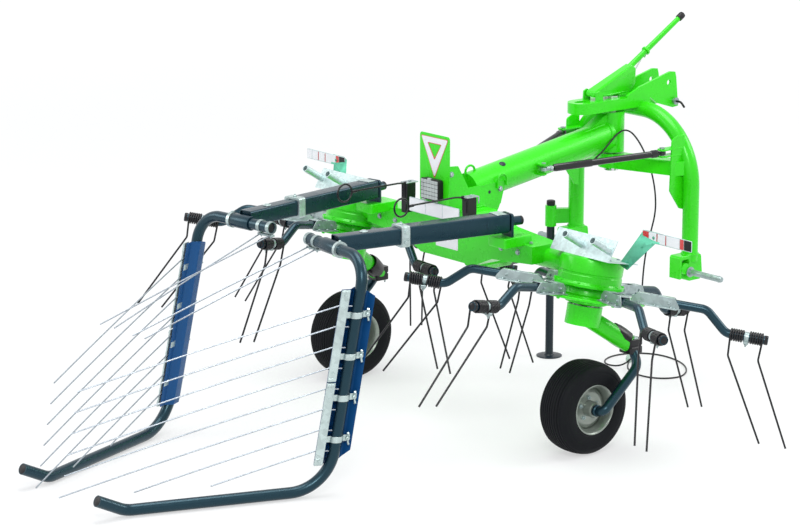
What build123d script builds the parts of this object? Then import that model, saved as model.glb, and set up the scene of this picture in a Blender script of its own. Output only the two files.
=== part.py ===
from build123d import *
from math import atan2, cos, degrees, hypot, radians, sin, sqrt, tan
import os

# Twin rotor hay rake on a three point headstock. Millimetres, +X to the machine's
# right, +Y ahead, +Z up, the ground at Z = 0. Most pieces are drawn for the right
# hand side and mirrored to the left.

# ---------------------------------------------------------------- driving dimensions
AXLE_Y = 400.0              # the wheels' contact line, ahead of the origin
TRACK = 1592.0              # between the two rotor axes, and between the wheels
ROTOR_TILT = 11.8           # the rotors lean forward, in degrees
COIL_PLANE_Z = 636.0        # height of the coils' plane on the rotor axis
PLAY = 0.05                 # running clearance on a radius

# rotor, in its own frame: Z along the axis, zero in the plane of the tine coils
ARM_COUNT = 6
RIGHT_PHASE = 40.3          # first arm's angle from +X, in degrees
ARM_TUBE = 38.0
TURNED_SIDES = 36           # flats on the large turned forms
ARM_SIDES = 12              # the arms' and coils' sections have flats, because they repeat
ARM_INNER_R = 200.0
ARM_KNEE_R = 510.0
ARM_FOOT_R = 606.0
ARM_END_R = 785.0
ARM_RISE = 85.0
ARM_BEND = 60.0
HUB_R = 250.0
HUB_THICK = 12.0
HUB_TOP = ARM_RISE - ARM_TUBE / 2 - 4.0
COLLAR_R = 112.0
COLLAR_HEIGHT = 30.0
POST_R = 30.0
CLAMP_START_R = 190.0
CLAMP_END_R = 395.0
CLAMP_WIDTH = 58.0
CLAMP_HEIGHT = 48.0
COIL_R = 27.5
COIL_LENGTH = 52.0
COIL_GAP = 26.0             # between the two coils of one double tine
COIL_MID_R = 694.0
TINE_WIRE = 9.0
TINE_SHANK = 88.0           # straight drop below the coil
TINE_TIP_DROP = 428.0       # tip below the coils' plane
TINE_TIP_OUT = 185.0        # tip further out than the shank
TINE_TRAIL = 45.0           # tip behind the arm

# rotor housing, fixed: a drum above the hub on the post that the hub turns round
DRUM_GAP = 6.0
DRUM_R = 137.0
DRUM_HEIGHT = 128.0
DRUM_FLANGE_R = 152.0
DRUM_FLANGE = 16.0

# wheels
TYRE_R = 203.0
TYRE_WIDTH = 165.0
RIM_R = 103.0
RIM_WIDTH = 140.0
AXLE_R = 12.5
WHEEL_HUB_R = 34.0
LEG_TUBE = 42.0
LEG_STANDOFF = 22.0         # from the tyre's side to the leg's tube

# frame
BOOM_R = 69.0
BOOM_REAR_Y = AXLE_Y + 30.0
BOOM_REAR_Z = 1024.0
BOOM_SLOPE = 9.3            # degrees, rising forward
SWIVEL_Y = AXLE_Y + 905.0
SWIVEL_PIN_R = 25.0
SWIVEL_TUBE_R = 58.0
SWIVEL_LOW_Z = 1085.0
SWIVEL_HIGH_Z = 1272.0
BEAM_TUBE_R = 45.0
BEAM_TUBE_Z = 812.0
BEAM_TUBE_Y = AXLE_Y + 15.0
PLATE = 8.0

# headstock
LEG_X = 382.0
ARCH_TUBE_R = 37.5
ARCH_Y = AXLE_Y + 1045.0
ARCH_TOP_Z = 1310.0
ARCH_BEND_R = 320.0
HITCH_Z = 567.0
HITCH_Y = AXLE_Y + 1020.0
HITCH_PIN_R = 14.0          # category 2 lower link pin
HITCH_SHOULDER = 412.5      # half of the 825 mm over the shoulders
HITCH_PIN_END = 612.5
PIN_SHANK_R = 13.0
TOP_LINK_Z = 1378.0
TOP_LINK_Y = AXLE_Y + 1205.0
TOP_LINK_BORE_R = 12.75     # category 2 top link pin
CHEEK_X = 52.0              # inner face of each top link cheek
CHEEK = 12.0

# swath formers
FORMER_TOE = 9.9            # the carrier beams close in rearwards, in degrees
FORMER_X = 453.0            # front end of the carrier sleeve
FORMER_Y = AXLE_Y - 151.0
FORMER_Z = 974.0
SLEEVE = 80.0
SLEEVE_LENGTH = 490.0
CARRIER = 70.0
CARRIER_END = 828.0
PIVOT_R = 20.0
GUARD_TUBE = 48.3
GUARD_WALL = 3.0
BOARD_TOE = 25.4            # the rods and their board close in further
BOARD_WIDTH = 150.0
BOARD_THICK = 3.0
ROD_WIRE = 6.0
ROD_DROOP = 15.0
ROD_PITCH = 84.0
STRIP_WIDTH = 36.0
STRIP_THICK = 7.0

# stand
STAND_X = -451.5
STAND_Y = AXLE_Y + 945.6
STAND_TUBE_R = 19.0
STAND_TOP_Z = 770.0
SOCKET_LOW_Z = 645.0
SOCKET_HIGH_Z = 745.0
FOOT_R = 62.0

# dampers between boom and headstock legs
DAMPER_FRONT = Vector(330, AXLE_Y + 905, 1123)
DAMPER_REAR = Vector(94, AXLE_Y + 397, 1077)
DAMPER_PIN_R = 8.0
OPEN_PIN_R = 5.0            # the rear pin, loose in the rod's eye, where the linkage is open
OPEN_EYE_R = 12.0
DAMPER_R = 21.0
DAMPER_ROD_R = 9.0
LUG_OUT = 15.0
REAR_LUG_OUT = 22.0         # wider apart, because the rod's eye drifts up and down there
LUG_THICK = 7.0

# free lighting cable
CABLE = 8.0

os.makedirs("parts", exist_ok=True)

tilt_sin = sin(radians(ROTOR_TILT))
tilt_cos = cos(radians(ROTOR_TILT))
rotor_x = TRACK / 2
rotor_frame = Plane(origin=(rotor_x, AXLE_Y, COIL_PLANE_Z), x_dir=(1, 0, 0), z_dir=(0, tilt_sin, tilt_cos))


# ---------------------------------------------------------------- shared operations
def bent_bar(points, bends, radius, bore=0.0):
    """A round bar or tube along straight runs that meet in tangent arcs."""
    with BuildPart() as bar:
        with BuildLine() as route:
            if len(points) == 2:
                Line(*points)
            else:
                FilletPolyline(*points, radius=bends)
        with BuildSketch(Plane(origin=route.line @ 0, z_dir=route.line % 0)):
            Circle(radius)
            if bore:
                Circle(bore, mode=Mode.SUBTRACT)
        sweep(path=route.line)
    return bar.part


def round_bar(start, end, radius):
    """A straight round bar between two points."""
    return bent_bar([Vector(start), Vector(end)], [], radius)


def eased(points, bends, chords):
    """The same route with each arc drawn as short straight runs, for pieces that repeat."""
    route = [Vector(points[0])]
    for number, bend in enumerate(bends, 1):
        corner = Vector(points[number])
        before = (corner - Vector(points[number - 1])).normalized()
        after = (Vector(points[number + 1]) - corner).normalized()
        turn = radians(before.get_angle(after))
        start = corner - before * bend * tan(turn / 2)
        inward = (after - before).normalized()
        centre = corner + inward * (bend / cos(turn / 2))
        radial = (start - centre).normalized()
        outer = bend / cos(turn / chords / 2)
        for step in range(chords):
            angle = (step + 0.5) * turn / chords
            route.append(centre + (radial * cos(angle) + before * sin(angle)) * outer)
    route.append(Vector(points[-1]))
    return route


def plain_bar(points, bends, radius, sides=0, chords=2):
    """A bar with mitred bends, round or with a many sided section."""
    with BuildPart() as bar:
        with BuildLine() as route:
            Polyline(*eased(points, bends, chords))
        with BuildSketch(Plane(origin=route.line @ 0, z_dir=route.line % 0)):
            if sides:
                RegularPolygon(radius, sides)
            else:
                Circle(radius)
        sweep(path=route.line, transition=Transition.RIGHT)
    return bar.part


def turned(stations, plane, sides):
    """A turned form drawn with many flats, from (distance along, radius) pairs."""
    with BuildPart() as body:
        for distance, radius in stations:
            with BuildSketch(plane.offset(distance)):
                RegularPolygon(radius, sides)
        loft(ruled=True)
    return body.part


def write_pair(piece, name):
    """Label and write a right hand piece and its mirror image on the left."""
    piece.part.label = "right_" + name
    export_step(piece.part, "parts/right_" + name + ".step")
    with BuildPart() as other:
        mirror(piece.part, about=Plane.YZ)
    other.part.label = "left_" + name
    export_step(other.part, "parts/left_" + name + ".step")


def write_both(piece, name):
    """Label and write a right hand piece and its mirror image as one node."""
    with BuildPart() as pair:
        add(piece.part)
        mirror(piece.part, about=Plane.YZ)
    pair.part.label = name
    export_step(pair.part, "parts/" + name + ".step")


def largest(piece):
    """The largest solid of a piece, without the scraps that a cut leaves."""
    with BuildPart() as kept:
        add(piece.part.solids().sort_by(SortBy.VOLUME)[-1])
    return kept


def side_outline(points, x_low, x_high):
    """A plate or block whose outline lies in Y and Z, between two X planes."""
    with BuildPart() as block:
        with BuildSketch(Plane(origin=(x_low, 0, 0), x_dir=(0, 1, 0), z_dir=(1, 0, 0))):
            Polygon(*points, align=None)
        extrude(amount=x_high - x_low)
    return block.part


# ---------------------------------------------------------------- rotor hubs
with BuildPart() as hub_local:
    with BuildSketch(Plane.XY.offset(HUB_TOP - HUB_THICK)):
        RegularPolygon(HUB_R, TURNED_SIDES)
    extrude(amount=HUB_THICK)
    with BuildSketch(Plane.XY.offset(HUB_TOP)):
        RegularPolygon(COLLAR_R, TURNED_SIDES)
    extrude(amount=COLLAR_HEIGHT)
    with BuildSketch(Plane.XY.offset(HUB_TOP - HUB_THICK)):
        RegularPolygon(COLLAR_R - 22, TURNED_SIDES)
    extrude(amount=-28)
    Cylinder(POST_R + PLAY, 400, mode=Mode.SUBTRACT)
collar_top = HUB_TOP + COLLAR_HEIGHT
hub_bottom = HUB_TOP - HUB_THICK - 28

with BuildPart() as rotor_hub:
    add(rotor_frame.location * hub_local.part)
write_pair(rotor_hub, "rotor_hub")


# ---------------------------------------------------------------- rotor arms and clamps
def arm_local():
    """One tine arm along +X: up at the hub, down through a knee to the coils."""
    knee = [(ARM_INNER_R, 0, ARM_RISE), (ARM_KNEE_R, 0, ARM_RISE), (ARM_FOOT_R, 0, 0), (ARM_END_R, 0, 0)]
    return plain_bar(knee, [ARM_BEND, ARM_BEND], ARM_TUBE / 2, ARM_SIDES)


def clamp_local():
    """The galvanised clamp that carries one arm on the hub's rim."""
    length = CLAMP_END_R - CLAMP_START_R
    with BuildPart() as clamp:
        with BuildSketch(Plane.YZ.offset(CLAMP_START_R)):
            with Locations((0, HUB_TOP + CLAMP_HEIGHT / 2)):
                Rectangle(CLAMP_WIDTH, CLAMP_HEIGHT)
            with Locations((0, ARM_RISE)):
                RegularPolygon(ARM_TUBE / 2 + PLAY, ARM_SIDES, mode=Mode.SUBTRACT)
        extrude(amount=length)
        upright = clamp.edges().filter_by(Axis.X).sort_by(Axis.Z)[-2:]
        chamfer(upright, 10)
    return clamp.part


def tine_local():
    """One double tine along +X: two coils on the arm, a shank and a raked leg from each."""
    sleeve_length = 2 * COIL_LENGTH + COIL_GAP
    with BuildPart() as tine:
        with BuildSketch(Plane.YZ.offset(COIL_MID_R - COIL_GAP / 2)):
            RegularPolygon(COIL_R - 4, ARM_SIDES)
            RegularPolygon(ARM_TUBE / 2 + PLAY, ARM_SIDES, mode=Mode.SUBTRACT)
        extrude(amount=COIL_GAP)
        for way in (-1, 1):
            middle = COIL_MID_R + way * (COIL_GAP + COIL_LENGTH) / 2
            outer_end = COIL_MID_R + way * sleeve_length / 2
            with BuildSketch(Plane.YZ.offset(middle - COIL_LENGTH / 2)):
                RegularPolygon(COIL_R, ARM_SIDES)
                RegularPolygon(ARM_TUBE / 2 + PLAY, ARM_SIDES, mode=Mode.SUBTRACT)
            extrude(amount=COIL_LENGTH)
            shank_x = outer_end - way * TINE_WIRE
            side = ARM_TUBE / 2 + TINE_WIRE / 2 + 1
            leg = [
                (shank_x, -side, 0),
                (shank_x, -side, -TINE_SHANK),
                (shank_x + TINE_TIP_OUT, -side - TINE_TRAIL, -TINE_TIP_DROP),
            ]
            add(plain_bar(leg, [24], TINE_WIRE / 2, 6))
    return tine.part


def ring_of(shape, phase):
    """Six copies of one arm's piece round the rotor axis, set in the rotor's place."""
    with BuildPart() as ring:
        for number in range(ARM_COUNT):
            turn = Rotation(0, 0, phase + number * 360 / ARM_COUNT)
            add(rotor_frame.location * (turn * shape))
    return ring


# The left rotor runs half an arm's pitch apart, so that the tines pass between each
# other, and it is the mirror image, because it turns the other way.
left_phase = RIGHT_PHASE - 180 / ARM_COUNT
for name, shape in (("arm_clamps", clamp_local()), ("rotor_arms", arm_local()), ("tines", tine_local())):
    right_ring = ring_of(shape, RIGHT_PHASE)
    right_ring.part.label = "right_" + name
    export_step(right_ring.part, "parts/right_" + name + ".step")
    other_ring = ring_of(shape, left_phase)
    with BuildPart() as left_ring:
        mirror(other_ring.part, about=Plane.YZ)
    left_ring.part.label = "left_" + name
    export_step(left_ring.part, "parts/left_" + name + ".step")

# ---------------------------------------------------------------- rotor housings
drum_base = collar_top + DRUM_GAP
drum_top = drum_base + DRUM_HEIGHT
post_end = hub_bottom - 8

with BuildPart() as drum_local:
    drum = [
        (drum_base, DRUM_FLANGE_R), (drum_base + DRUM_FLANGE, DRUM_FLANGE_R),
        (drum_base + DRUM_FLANGE + 6, DRUM_R), (drum_top - 14, DRUM_R), (drum_top, DRUM_R - 14),
    ]
    add(turned(drum, Plane.XY, TURNED_SIDES))
    with Locations((0, 0, drum_base)):
        Cylinder(POST_R, drum_base - post_end, align=(Align.CENTER, Align.CENTER, Align.MAX))

with BuildPart() as rotor_housing:
    add(rotor_frame.location * drum_local.part)
write_pair(rotor_housing, "rotor_housing")

# ---------------------------------------------------------------- wheel leg brackets
block_size = Vector(76, 74, 64)
block_middle = Vector(rotor_x + 64, AXLE_Y + 215, 452)
post_foot = rotor_frame.from_local_coords(Vector(0, 0, post_end))
tube_start = rotor_frame.from_local_coords(Vector(0, 0, post_end - 42))

with BuildPart() as leg_block:
    with Locations(block_middle):
        Box(block_size.X, block_size.Y, block_size.Z)
        fillet(leg_block.edges().filter_by(Axis.Z), 10)

with BuildPart() as leg_bracket:
    with BuildSketch(Plane(origin=post_foot, z_dir=rotor_frame.z_dir)):
        Circle(76)
    extrude(amount=-84)
    add(round_bar(tube_start, block_middle, 40))
    add(leg_block.part, mode=Mode.SUBTRACT)
write_pair(largest(leg_bracket), "leg_bracket")

# ---------------------------------------------------------------- wheel legs
tyre_side = rotor_x + TYRE_WIDTH / 2
leg_x = tyre_side + LEG_STANDOFF + LEG_TUBE / 2
hub_face_x = tyre_side + 6
leg_route = [
    (hub_face_x, AXLE_Y, TYRE_R),
    (leg_x, AXLE_Y, TYRE_R),
    (leg_x - 4, AXLE_Y + 205, 375),
    (block_middle.X, block_middle.Y, block_middle.Z),
]
with BuildPart() as wheel_leg:
    add(plain_bar(leg_route, [LEG_STANDOFF + 4, 70], LEG_TUBE / 2, 20, 3))
    add(leg_block.part)
    add(round_bar((hub_face_x, AXLE_Y, TYRE_R), (rotor_x - 60, AXLE_Y, TYRE_R), AXLE_R))
write_pair(wheel_leg, "wheel_leg")

# ---------------------------------------------------------------- wheels
half_rim = RIM_WIDTH / 2
half_tyre = TYRE_WIDTH / 2
wheel_plane = Plane(origin=(rotor_x, AXLE_Y, TYRE_R), x_dir=(0, 1, 0), z_dir=(1, 0, 0))
WHEEL_SIDES = 48
rim_hollow = [(-half_rim - 1, RIM_R - 10), (half_rim - 44, RIM_R - 14)]
rim_dish = [(half_rim - 34, RIM_R - 34), (half_rim - 26, RIM_R - 12), (half_rim + 1, RIM_R - 5)]
with BuildPart() as wheel_rim:
    add(turned([(-half_rim, RIM_R), (half_rim, RIM_R)], wheel_plane, WHEEL_SIDES))
    add(turned(rim_hollow, wheel_plane, WHEEL_SIDES), mode=Mode.SUBTRACT)
    add(turned(rim_dish, wheel_plane, WHEEL_SIDES), mode=Mode.SUBTRACT)
    with BuildSketch(wheel_plane.offset(-half_rim + 20)):
        Circle(WHEEL_HUB_R)
    extrude(amount=RIM_WIDTH - 12)
    with BuildSketch(wheel_plane.offset(-half_rim + 10)):
        Circle(AXLE_R + PLAY)
    extrude(amount=RIM_WIDTH + 10, mode=Mode.SUBTRACT)
write_pair(wheel_rim, "wheel_rim")

tyre_section = [
    (-half_rim, RIM_R), (-half_tyre, RIM_R + 44), (-half_tyre + 10, TYRE_R - 21), (-36, TYRE_R),
    (36, TYRE_R), (half_tyre - 10, TYRE_R - 21), (half_tyre, RIM_R + 44), (half_rim, RIM_R),
]
with BuildPart() as tyre:
    add(turned(tyre_section, wheel_plane, WHEEL_SIDES))
    add(turned([(-half_rim - 1, RIM_R), (half_rim + 1, RIM_R)], wheel_plane, WHEEL_SIDES), mode=Mode.SUBTRACT)
write_pair(tyre, "tyre")

# ---------------------------------------------------------------- top brackets
FACE_TILT = 19.6            # the bracket's face leans back from the rotor axis
FACE_WIDTH = 360.0
FACE_HEIGHT = 100.0
SHEET = 4.0
HOLDER_R = 16.0
HOLDER_SPACING = 169.0
HOLDER_LENGTH = 116.0
face_bottom = -104.0

with BuildPart() as top_bracket_local:
    with BuildSketch(Plane.YZ) as fold:
        with BuildLine():
            Polyline(
                (70, drum_top),
                (face_bottom, drum_top),
                (face_bottom + FACE_HEIGHT * sin(radians(FACE_TILT)), drum_top + FACE_HEIGHT * cos(radians(FACE_TILT))),
                (face_bottom + SHEET + FACE_HEIGHT * sin(radians(FACE_TILT)), drum_top + FACE_HEIGHT * cos(radians(FACE_TILT))),
                (face_bottom + SHEET * 1.5, drum_top + SHEET),
                (70, drum_top + SHEET),
                close=True,
            )
        make_face()
    extrude(amount=FACE_WIDTH / 2, both=True)
face_plane = Plane(
    origin=(19, face_bottom + FACE_HEIGHT / 2 * sin(radians(FACE_TILT)), drum_top + FACE_HEIGHT / 2 * cos(radians(FACE_TILT))),
    x_dir=(1, 0, 0),
    z_dir=(0, -cos(radians(FACE_TILT)), sin(radians(FACE_TILT))),
)
with BuildPart() as holders_local:
    with BuildSketch(face_plane):
        with Locations((-10, 0), (-10 + HOLDER_SPACING, 0)):
            Circle(HOLDER_R)
            Circle(HOLDER_R - 3, mode=Mode.SUBTRACT)
    extrude(amount=HOLDER_LENGTH)
with BuildPart() as top_bracket:
    add(rotor_frame.location * (Location((19, 0, 0)) * top_bracket_local.part))
    add(rotor_frame.location * holders_local.part)
write_pair(top_bracket, "top_bracket")

# ---------------------------------------------------------------- marker boards
BOARD_LOW = Vector(1003, AXLE_Y + 131, 948)
MARKER_WIDTH = 290.0
MARKER_HEIGHT = 48.0
with BuildPart() as marker_board:
    with Locations(BOARD_LOW):
        Box(MARKER_WIDTH, 3, MARKER_HEIGHT, align=(Align.MIN, Align.MIN, Align.MIN))
    with BuildSketch(Plane.XZ.offset(-(AXLE_Y + 134))):
        with BuildLine():
            strap_x = rotor_x + 206
            Polyline(
                (strap_x, 905),
                (strap_x + 48, 948 + MARKER_HEIGHT),
                (strap_x + 100, 948 + MARKER_HEIGHT),
                (strap_x + 100, 948),
                (strap_x + 76, 948),
                (strap_x + 38, 878),
                (strap_x, 878),
                close=True,
            )
        make_face()
    extrude(amount=-4)
write_both(marker_board, "marker_boards")

# ---------------------------------------------------------------- cross beam
beam_rear_y = AXLE_Y - 90.0
beam_front_y = AXLE_Y + 62.0
wing = [
    (-560, 796), (-300, 774), (-180, 722), (180, 722), (300, 774), (560, 796),
    (560, 872), (300, 896), (150, 950), (-150, 950), (-300, 896), (-560, 872),
]
with BuildPart() as cross_beam:
    with BuildSketch(Plane.XZ.offset(-beam_front_y)):
        Polygon(*wing, align=None)
    extrude(amount=beam_front_y - beam_rear_y)
    with BuildSketch(Plane.XZ.offset(-beam_front_y)):
        Polygon(*wing, align=None)
        offset(amount=-PLATE, mode=Mode.REPLACE)
    extrude(amount=beam_front_y - beam_rear_y - PLATE, mode=Mode.SUBTRACT)
    tube_end = rotor_x - sqrt(DRUM_R ** 2 - 30 ** 2) + 40
    add(round_bar((-tube_end, BEAM_TUBE_Y, BEAM_TUBE_Z), (tube_end, BEAM_TUBE_Y, BEAM_TUBE_Z), BEAM_TUBE_R))
    add(rotor_housing.part, mode=Mode.SUBTRACT)
    mirror(rotor_housing.part, about=Plane.YZ, mode=Mode.SUBTRACT)
cross_beam.part.label = "cross_beam"
export_step(cross_beam.part, "parts/cross_beam.step")

# ---------------------------------------------------------------- gearbox, guard and input shaft
GEARBOX_WIDTH = 180.0
GEARBOX_LENGTH = 158.0
GEARBOX_LOW_Z = 655.0
GEARBOX_HIGH_Z = 820.0
INPUT_Z = 715.0
INPUT_R = 17.5              # 35 mm splined stub
INPUT_LENGTH = 85.0
BEARING_R = 20.0
GUARD_R = 76.0
flange_front_y = beam_front_y + 10
gearbox_front_y = flange_front_y + GEARBOX_LENGTH
guard_front_y = AXLE_Y + 362
input_end_y = AXLE_Y + 335

with BuildPart() as center_gearbox:
    with BuildSketch(Plane.XZ.offset(-beam_front_y)):
        Polygon((-178, 724), (178, 724), (178, 938), (-178, 938), align=None)
    extrude(amount=-10)
    with Locations((0, (flange_front_y + gearbox_front_y) / 2, (GEARBOX_LOW_Z + GEARBOX_HIGH_Z) / 2)):
        Box(GEARBOX_WIDTH, GEARBOX_LENGTH, GEARBOX_HIGH_Z - GEARBOX_LOW_Z)
    chamfer(center_gearbox.edges().filter_by(Axis.Y).sort_by(Axis.Z)[:2], 28)
    with BuildSketch(Plane.XZ.offset(-gearbox_front_y)):
        with Locations((0, INPUT_Z)):
            Circle(52)
    extrude(amount=-12)
    with BuildSketch(Plane.XZ.offset(-gearbox_front_y - 12)):
        with Locations((0, INPUT_Z)):
            Circle(BEARING_R + PLAY)
    extrude(amount=112, mode=Mode.SUBTRACT)
center_gearbox.part.label = "center_gearbox"
export_step(center_gearbox.part, "parts/center_gearbox.step")

with BuildPart() as pto_shaft:
    with BuildSketch(Plane.XZ.offset(-input_end_y)):
        with Locations((0, INPUT_Z)):
            Circle(INPUT_R)
    extrude(amount=INPUT_LENGTH)
    with BuildSketch(Plane.XZ.offset(-input_end_y + INPUT_LENGTH)):
        with Locations((0, INPUT_Z)):
            Circle(BEARING_R)
    extrude(amount=input_end_y - INPUT_LENGTH - gearbox_front_y + 90)
pto_shaft.part.label = "pto_shaft"
export_step(pto_shaft.part, "parts/pto_shaft.step")

with BuildPart() as pto_guard:
    with BuildSketch(Plane.XZ.offset(-gearbox_front_y)):
        with Locations((0, INPUT_Z)):
            Circle(58)
            Circle(52 + PLAY, mode=Mode.SUBTRACT)
    extrude(amount=-14)
    with BuildSketch(Plane.XZ.offset(-gearbox_front_y - 14)):
        with Locations((0, INPUT_Z)):
            RegularPolygon(GUARD_R, TURNED_SIDES)
            Circle(50, mode=Mode.SUBTRACT)
    extrude(amount=-4)
    with BuildSketch(Plane.XZ.offset(-gearbox_front_y - 18)):
        with Locations((0, INPUT_Z)):
            RegularPolygon(GUARD_R, TURNED_SIDES)
            RegularPolygon(GUARD_R - 4, TURNED_SIDES, mode=Mode.SUBTRACT)
    extrude(amount=-(guard_front_y - gearbox_front_y - 18))
pto_guard.part.label = "pto_guard"
export_step(pto_guard.part, "parts/pto_guard.step")

# ---------------------------------------------------------------- boom
boom_rise = tan(radians(BOOM_SLOPE))


def boom_z(y):
    """Height of the boom's centre line at a station."""
    return BOOM_REAR_Z + (y - BOOM_REAR_Y) * boom_rise


boom_front_y = SWIVEL_Y - 30
side_plate = [
    (AXLE_Y - 160, 950), (AXLE_Y - 160, 1155), (AXLE_Y - 90, 1150),
    (AXLE_Y - 30, 1045), (AXLE_Y + 190, 1052), (AXLE_Y + 160, 950),
]
with BuildPart() as boom:
    add(round_bar((0, BOOM_REAR_Y, BOOM_REAR_Z), (0, boom_front_y, boom_z(boom_front_y)), BOOM_R))
    with Locations((0, SWIVEL_Y, SWIVEL_LOW_Z)):
        Cylinder(SWIVEL_TUBE_R, SWIVEL_HIGH_Z - SWIVEL_LOW_Z, align=(Align.CENTER, Align.CENTER, Align.MIN))
    crest = [
        (SWIVEL_Y - 190, boom_z(SWIVEL_Y - 190) + 55), (SWIVEL_Y - 60, SWIVEL_HIGH_Z - 8),
        (SWIVEL_Y - 20, SWIVEL_HIGH_Z - 8), (SWIVEL_Y - 20, boom_z(SWIVEL_Y - 20)),
    ]
    add(side_outline(crest, -26, 26))
    for side in (-1, 1):
        add(side_outline(side_plate, side * 70 - 4, side * 70 + 4))
    with Locations((0, SWIVEL_Y, 1200)):
        Cylinder(SWIVEL_PIN_R + PLAY, 600, mode=Mode.SUBTRACT)
boom.part.label = "boom"
export_step(boom.part, "parts/boom.step")

with BuildPart() as damper_lug:
    for level in (-REAR_LUG_OUT, REAR_LUG_OUT):
        with Locations((DAMPER_REAR.X - 20, DAMPER_REAR.Y - 5, DAMPER_REAR.Z + level)):
            Box(70, 36, LUG_THICK)
    chamfer(damper_lug.edges().filter_by(Axis.Z).group_by(Axis.X)[-1], 9)
    with Locations(DAMPER_REAR):
        Cylinder(OPEN_PIN_R, 2 * REAR_LUG_OUT + 14)
    add(boom.part, mode=Mode.SUBTRACT)
write_both(damper_lug, "damper_lugs")

# ---------------------------------------------------------------- plate, box and hooks at the rear
plate_rear_y = AXLE_Y - 163
with BuildPart() as sign_plate:
    with Locations((0, plate_rear_y, 980)):
        Box(200, 3, 310, align=(Align.CENTER, Align.MIN, Align.MIN))
    fillet(sign_plate.edges().filter_by(Axis.Y), 14)
sign_plate.part.label = "sign_plate"
export_step(sign_plate.part, "parts/sign_plate.step")

with BuildPart() as document_box:
    with Locations((0, plate_rear_y, 1000)):
        Box(124, 52, 108, align=(Align.CENTER, Align.MAX, Align.MIN))
    fillet(document_box.edges().filter_by(Axis.Y), 16)
document_box.part.label = "document_box"
export_step(document_box.part, "parts/document_box.step")

HOOK_R = 4.0
with BuildPart() as cable_hooks:
    for side, station in ((-1, AXLE_Y + 79), (1, AXLE_Y + 164)):
        top = boom_z(station) + BOOM_R - 6
        hook = [
            (side * 10, station, top), (side * 10, station, top + 38),
            (side * 56, station, top + 38), (side * 56, station, top + 14),
        ]
        add(plain_bar(hook, [14, 14], HOOK_R, 8))
    add(boom.part, mode=Mode.SUBTRACT)
cable_hooks.part.label = "cable_hooks"
export_step(cable_hooks.part, "parts/cable_hooks.step")

# ---------------------------------------------------------------- latches of the swath formers
LATCH_X = 194.0
RING_R = 39.5
RING_WIRE_R = 4.5
PULL_R = 4.0
latch_face_y = AXLE_Y - 136
ring_middle = Vector(LATCH_X, AXLE_Y - 512, 1043)

with BuildPart() as latch_block:
    with Locations((LATCH_X, latch_face_y, 900)):
        Box(62, 76, 142, align=(Align.CENTER, Align.MIN, Align.MIN))
    with Locations((LATCH_X, latch_face_y, 0)):
        Box(64, 200, 903, align=(Align.CENTER, Align.MIN, Align.MIN), mode=Mode.SUBTRACT)
    fillet(latch_block.edges().filter_by(Axis.Y).sort_by(Axis.Z)[-2:], 14)
    add(cross_beam.part, mode=Mode.SUBTRACT)
latch_block = largest(latch_block)
write_both(latch_block, "latch_blocks")

RING_SIDES = 16
with BuildPart() as pull_ring:
    for half in (0, RING_SIDES // 2):
        turns = [radians(360 * (half + step) / RING_SIDES) for step in range(RING_SIDES // 2 + 1)]
        around = [Vector(0, RING_R * cos(turn), RING_R * sin(turn)) for turn in turns]
        add(plain_bar(around, [], RING_WIRE_R, 8))
with BuildPart() as pull_rod:
    add(plain_bar(
        [(LATCH_X, latch_face_y, 1005), (LATCH_X, ring_middle.Y + RING_R - 2, 1043)], [], PULL_R, 8
    ))
    add(Location((ring_middle.X, ring_middle.Y, ring_middle.Z)) * pull_ring.part)
    add(latch_block.part, mode=Mode.SUBTRACT)
write_both(pull_rod, "pull_rods")

# ---------------------------------------------------------------- swath formers: pivots and beams
toe_sin = sin(radians(FORMER_TOE))
toe_cos = cos(radians(FORMER_TOE))
former_frame = Plane(
    origin=(FORMER_X, FORMER_Y, FORMER_Z), x_dir=(toe_cos, -toe_sin, 0), z_dir=(-toe_sin, -toe_cos, 0)
)
SLEEVE_PLUG = 120.0
CROSS_AT = 842.0
CROSS_R = 31.0
CROSS_MIDDLE = 173.0
guard_r = GUARD_TUBE / 2


def in_former(x, y, s):
    """A point beside, above and behind the carrier's front end, in the machine's frame."""
    return former_frame.from_local_coords(Vector(x, y, s))


with BuildPart() as pivot_local:
    with BuildSketch(Plane.XY.offset(-72)):
        Circle(PIVOT_R)
    extrude(amount=72 + SLEEVE_PLUG - 8)
    with BuildSketch(Plane.XY.offset(-20)):
        with Locations((0, -10)):
            Rectangle(84, 112)
    extrude(amount=12)
    chamfer(pivot_local.edges().filter_by(Axis.Z).sort_by(Axis.Y)[-2:], 18)
with BuildPart() as swath_pivot:
    add(former_frame.location * pivot_local.part)
    foot_x = in_former(0, 0, -14).X
    with Locations((foot_x, FORMER_Y - 49, 870)):
        Box(112, 160, 43, align=(Align.CENTER, Align.MIN, Align.MIN))
    add(cross_beam.part, mode=Mode.SUBTRACT)
write_both(largest(swath_pivot), "swath_pivots")

tube_top = Vector(135, AXLE_Y - 961, 962)
tube_shoulder = Vector(570, AXLE_Y - 1011, 962)
across = (tube_shoulder - tube_top).normalized()


def on_top_run(length):
    """A point on the guard tube's top run, from its free end."""
    return tube_top + across * length


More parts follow.
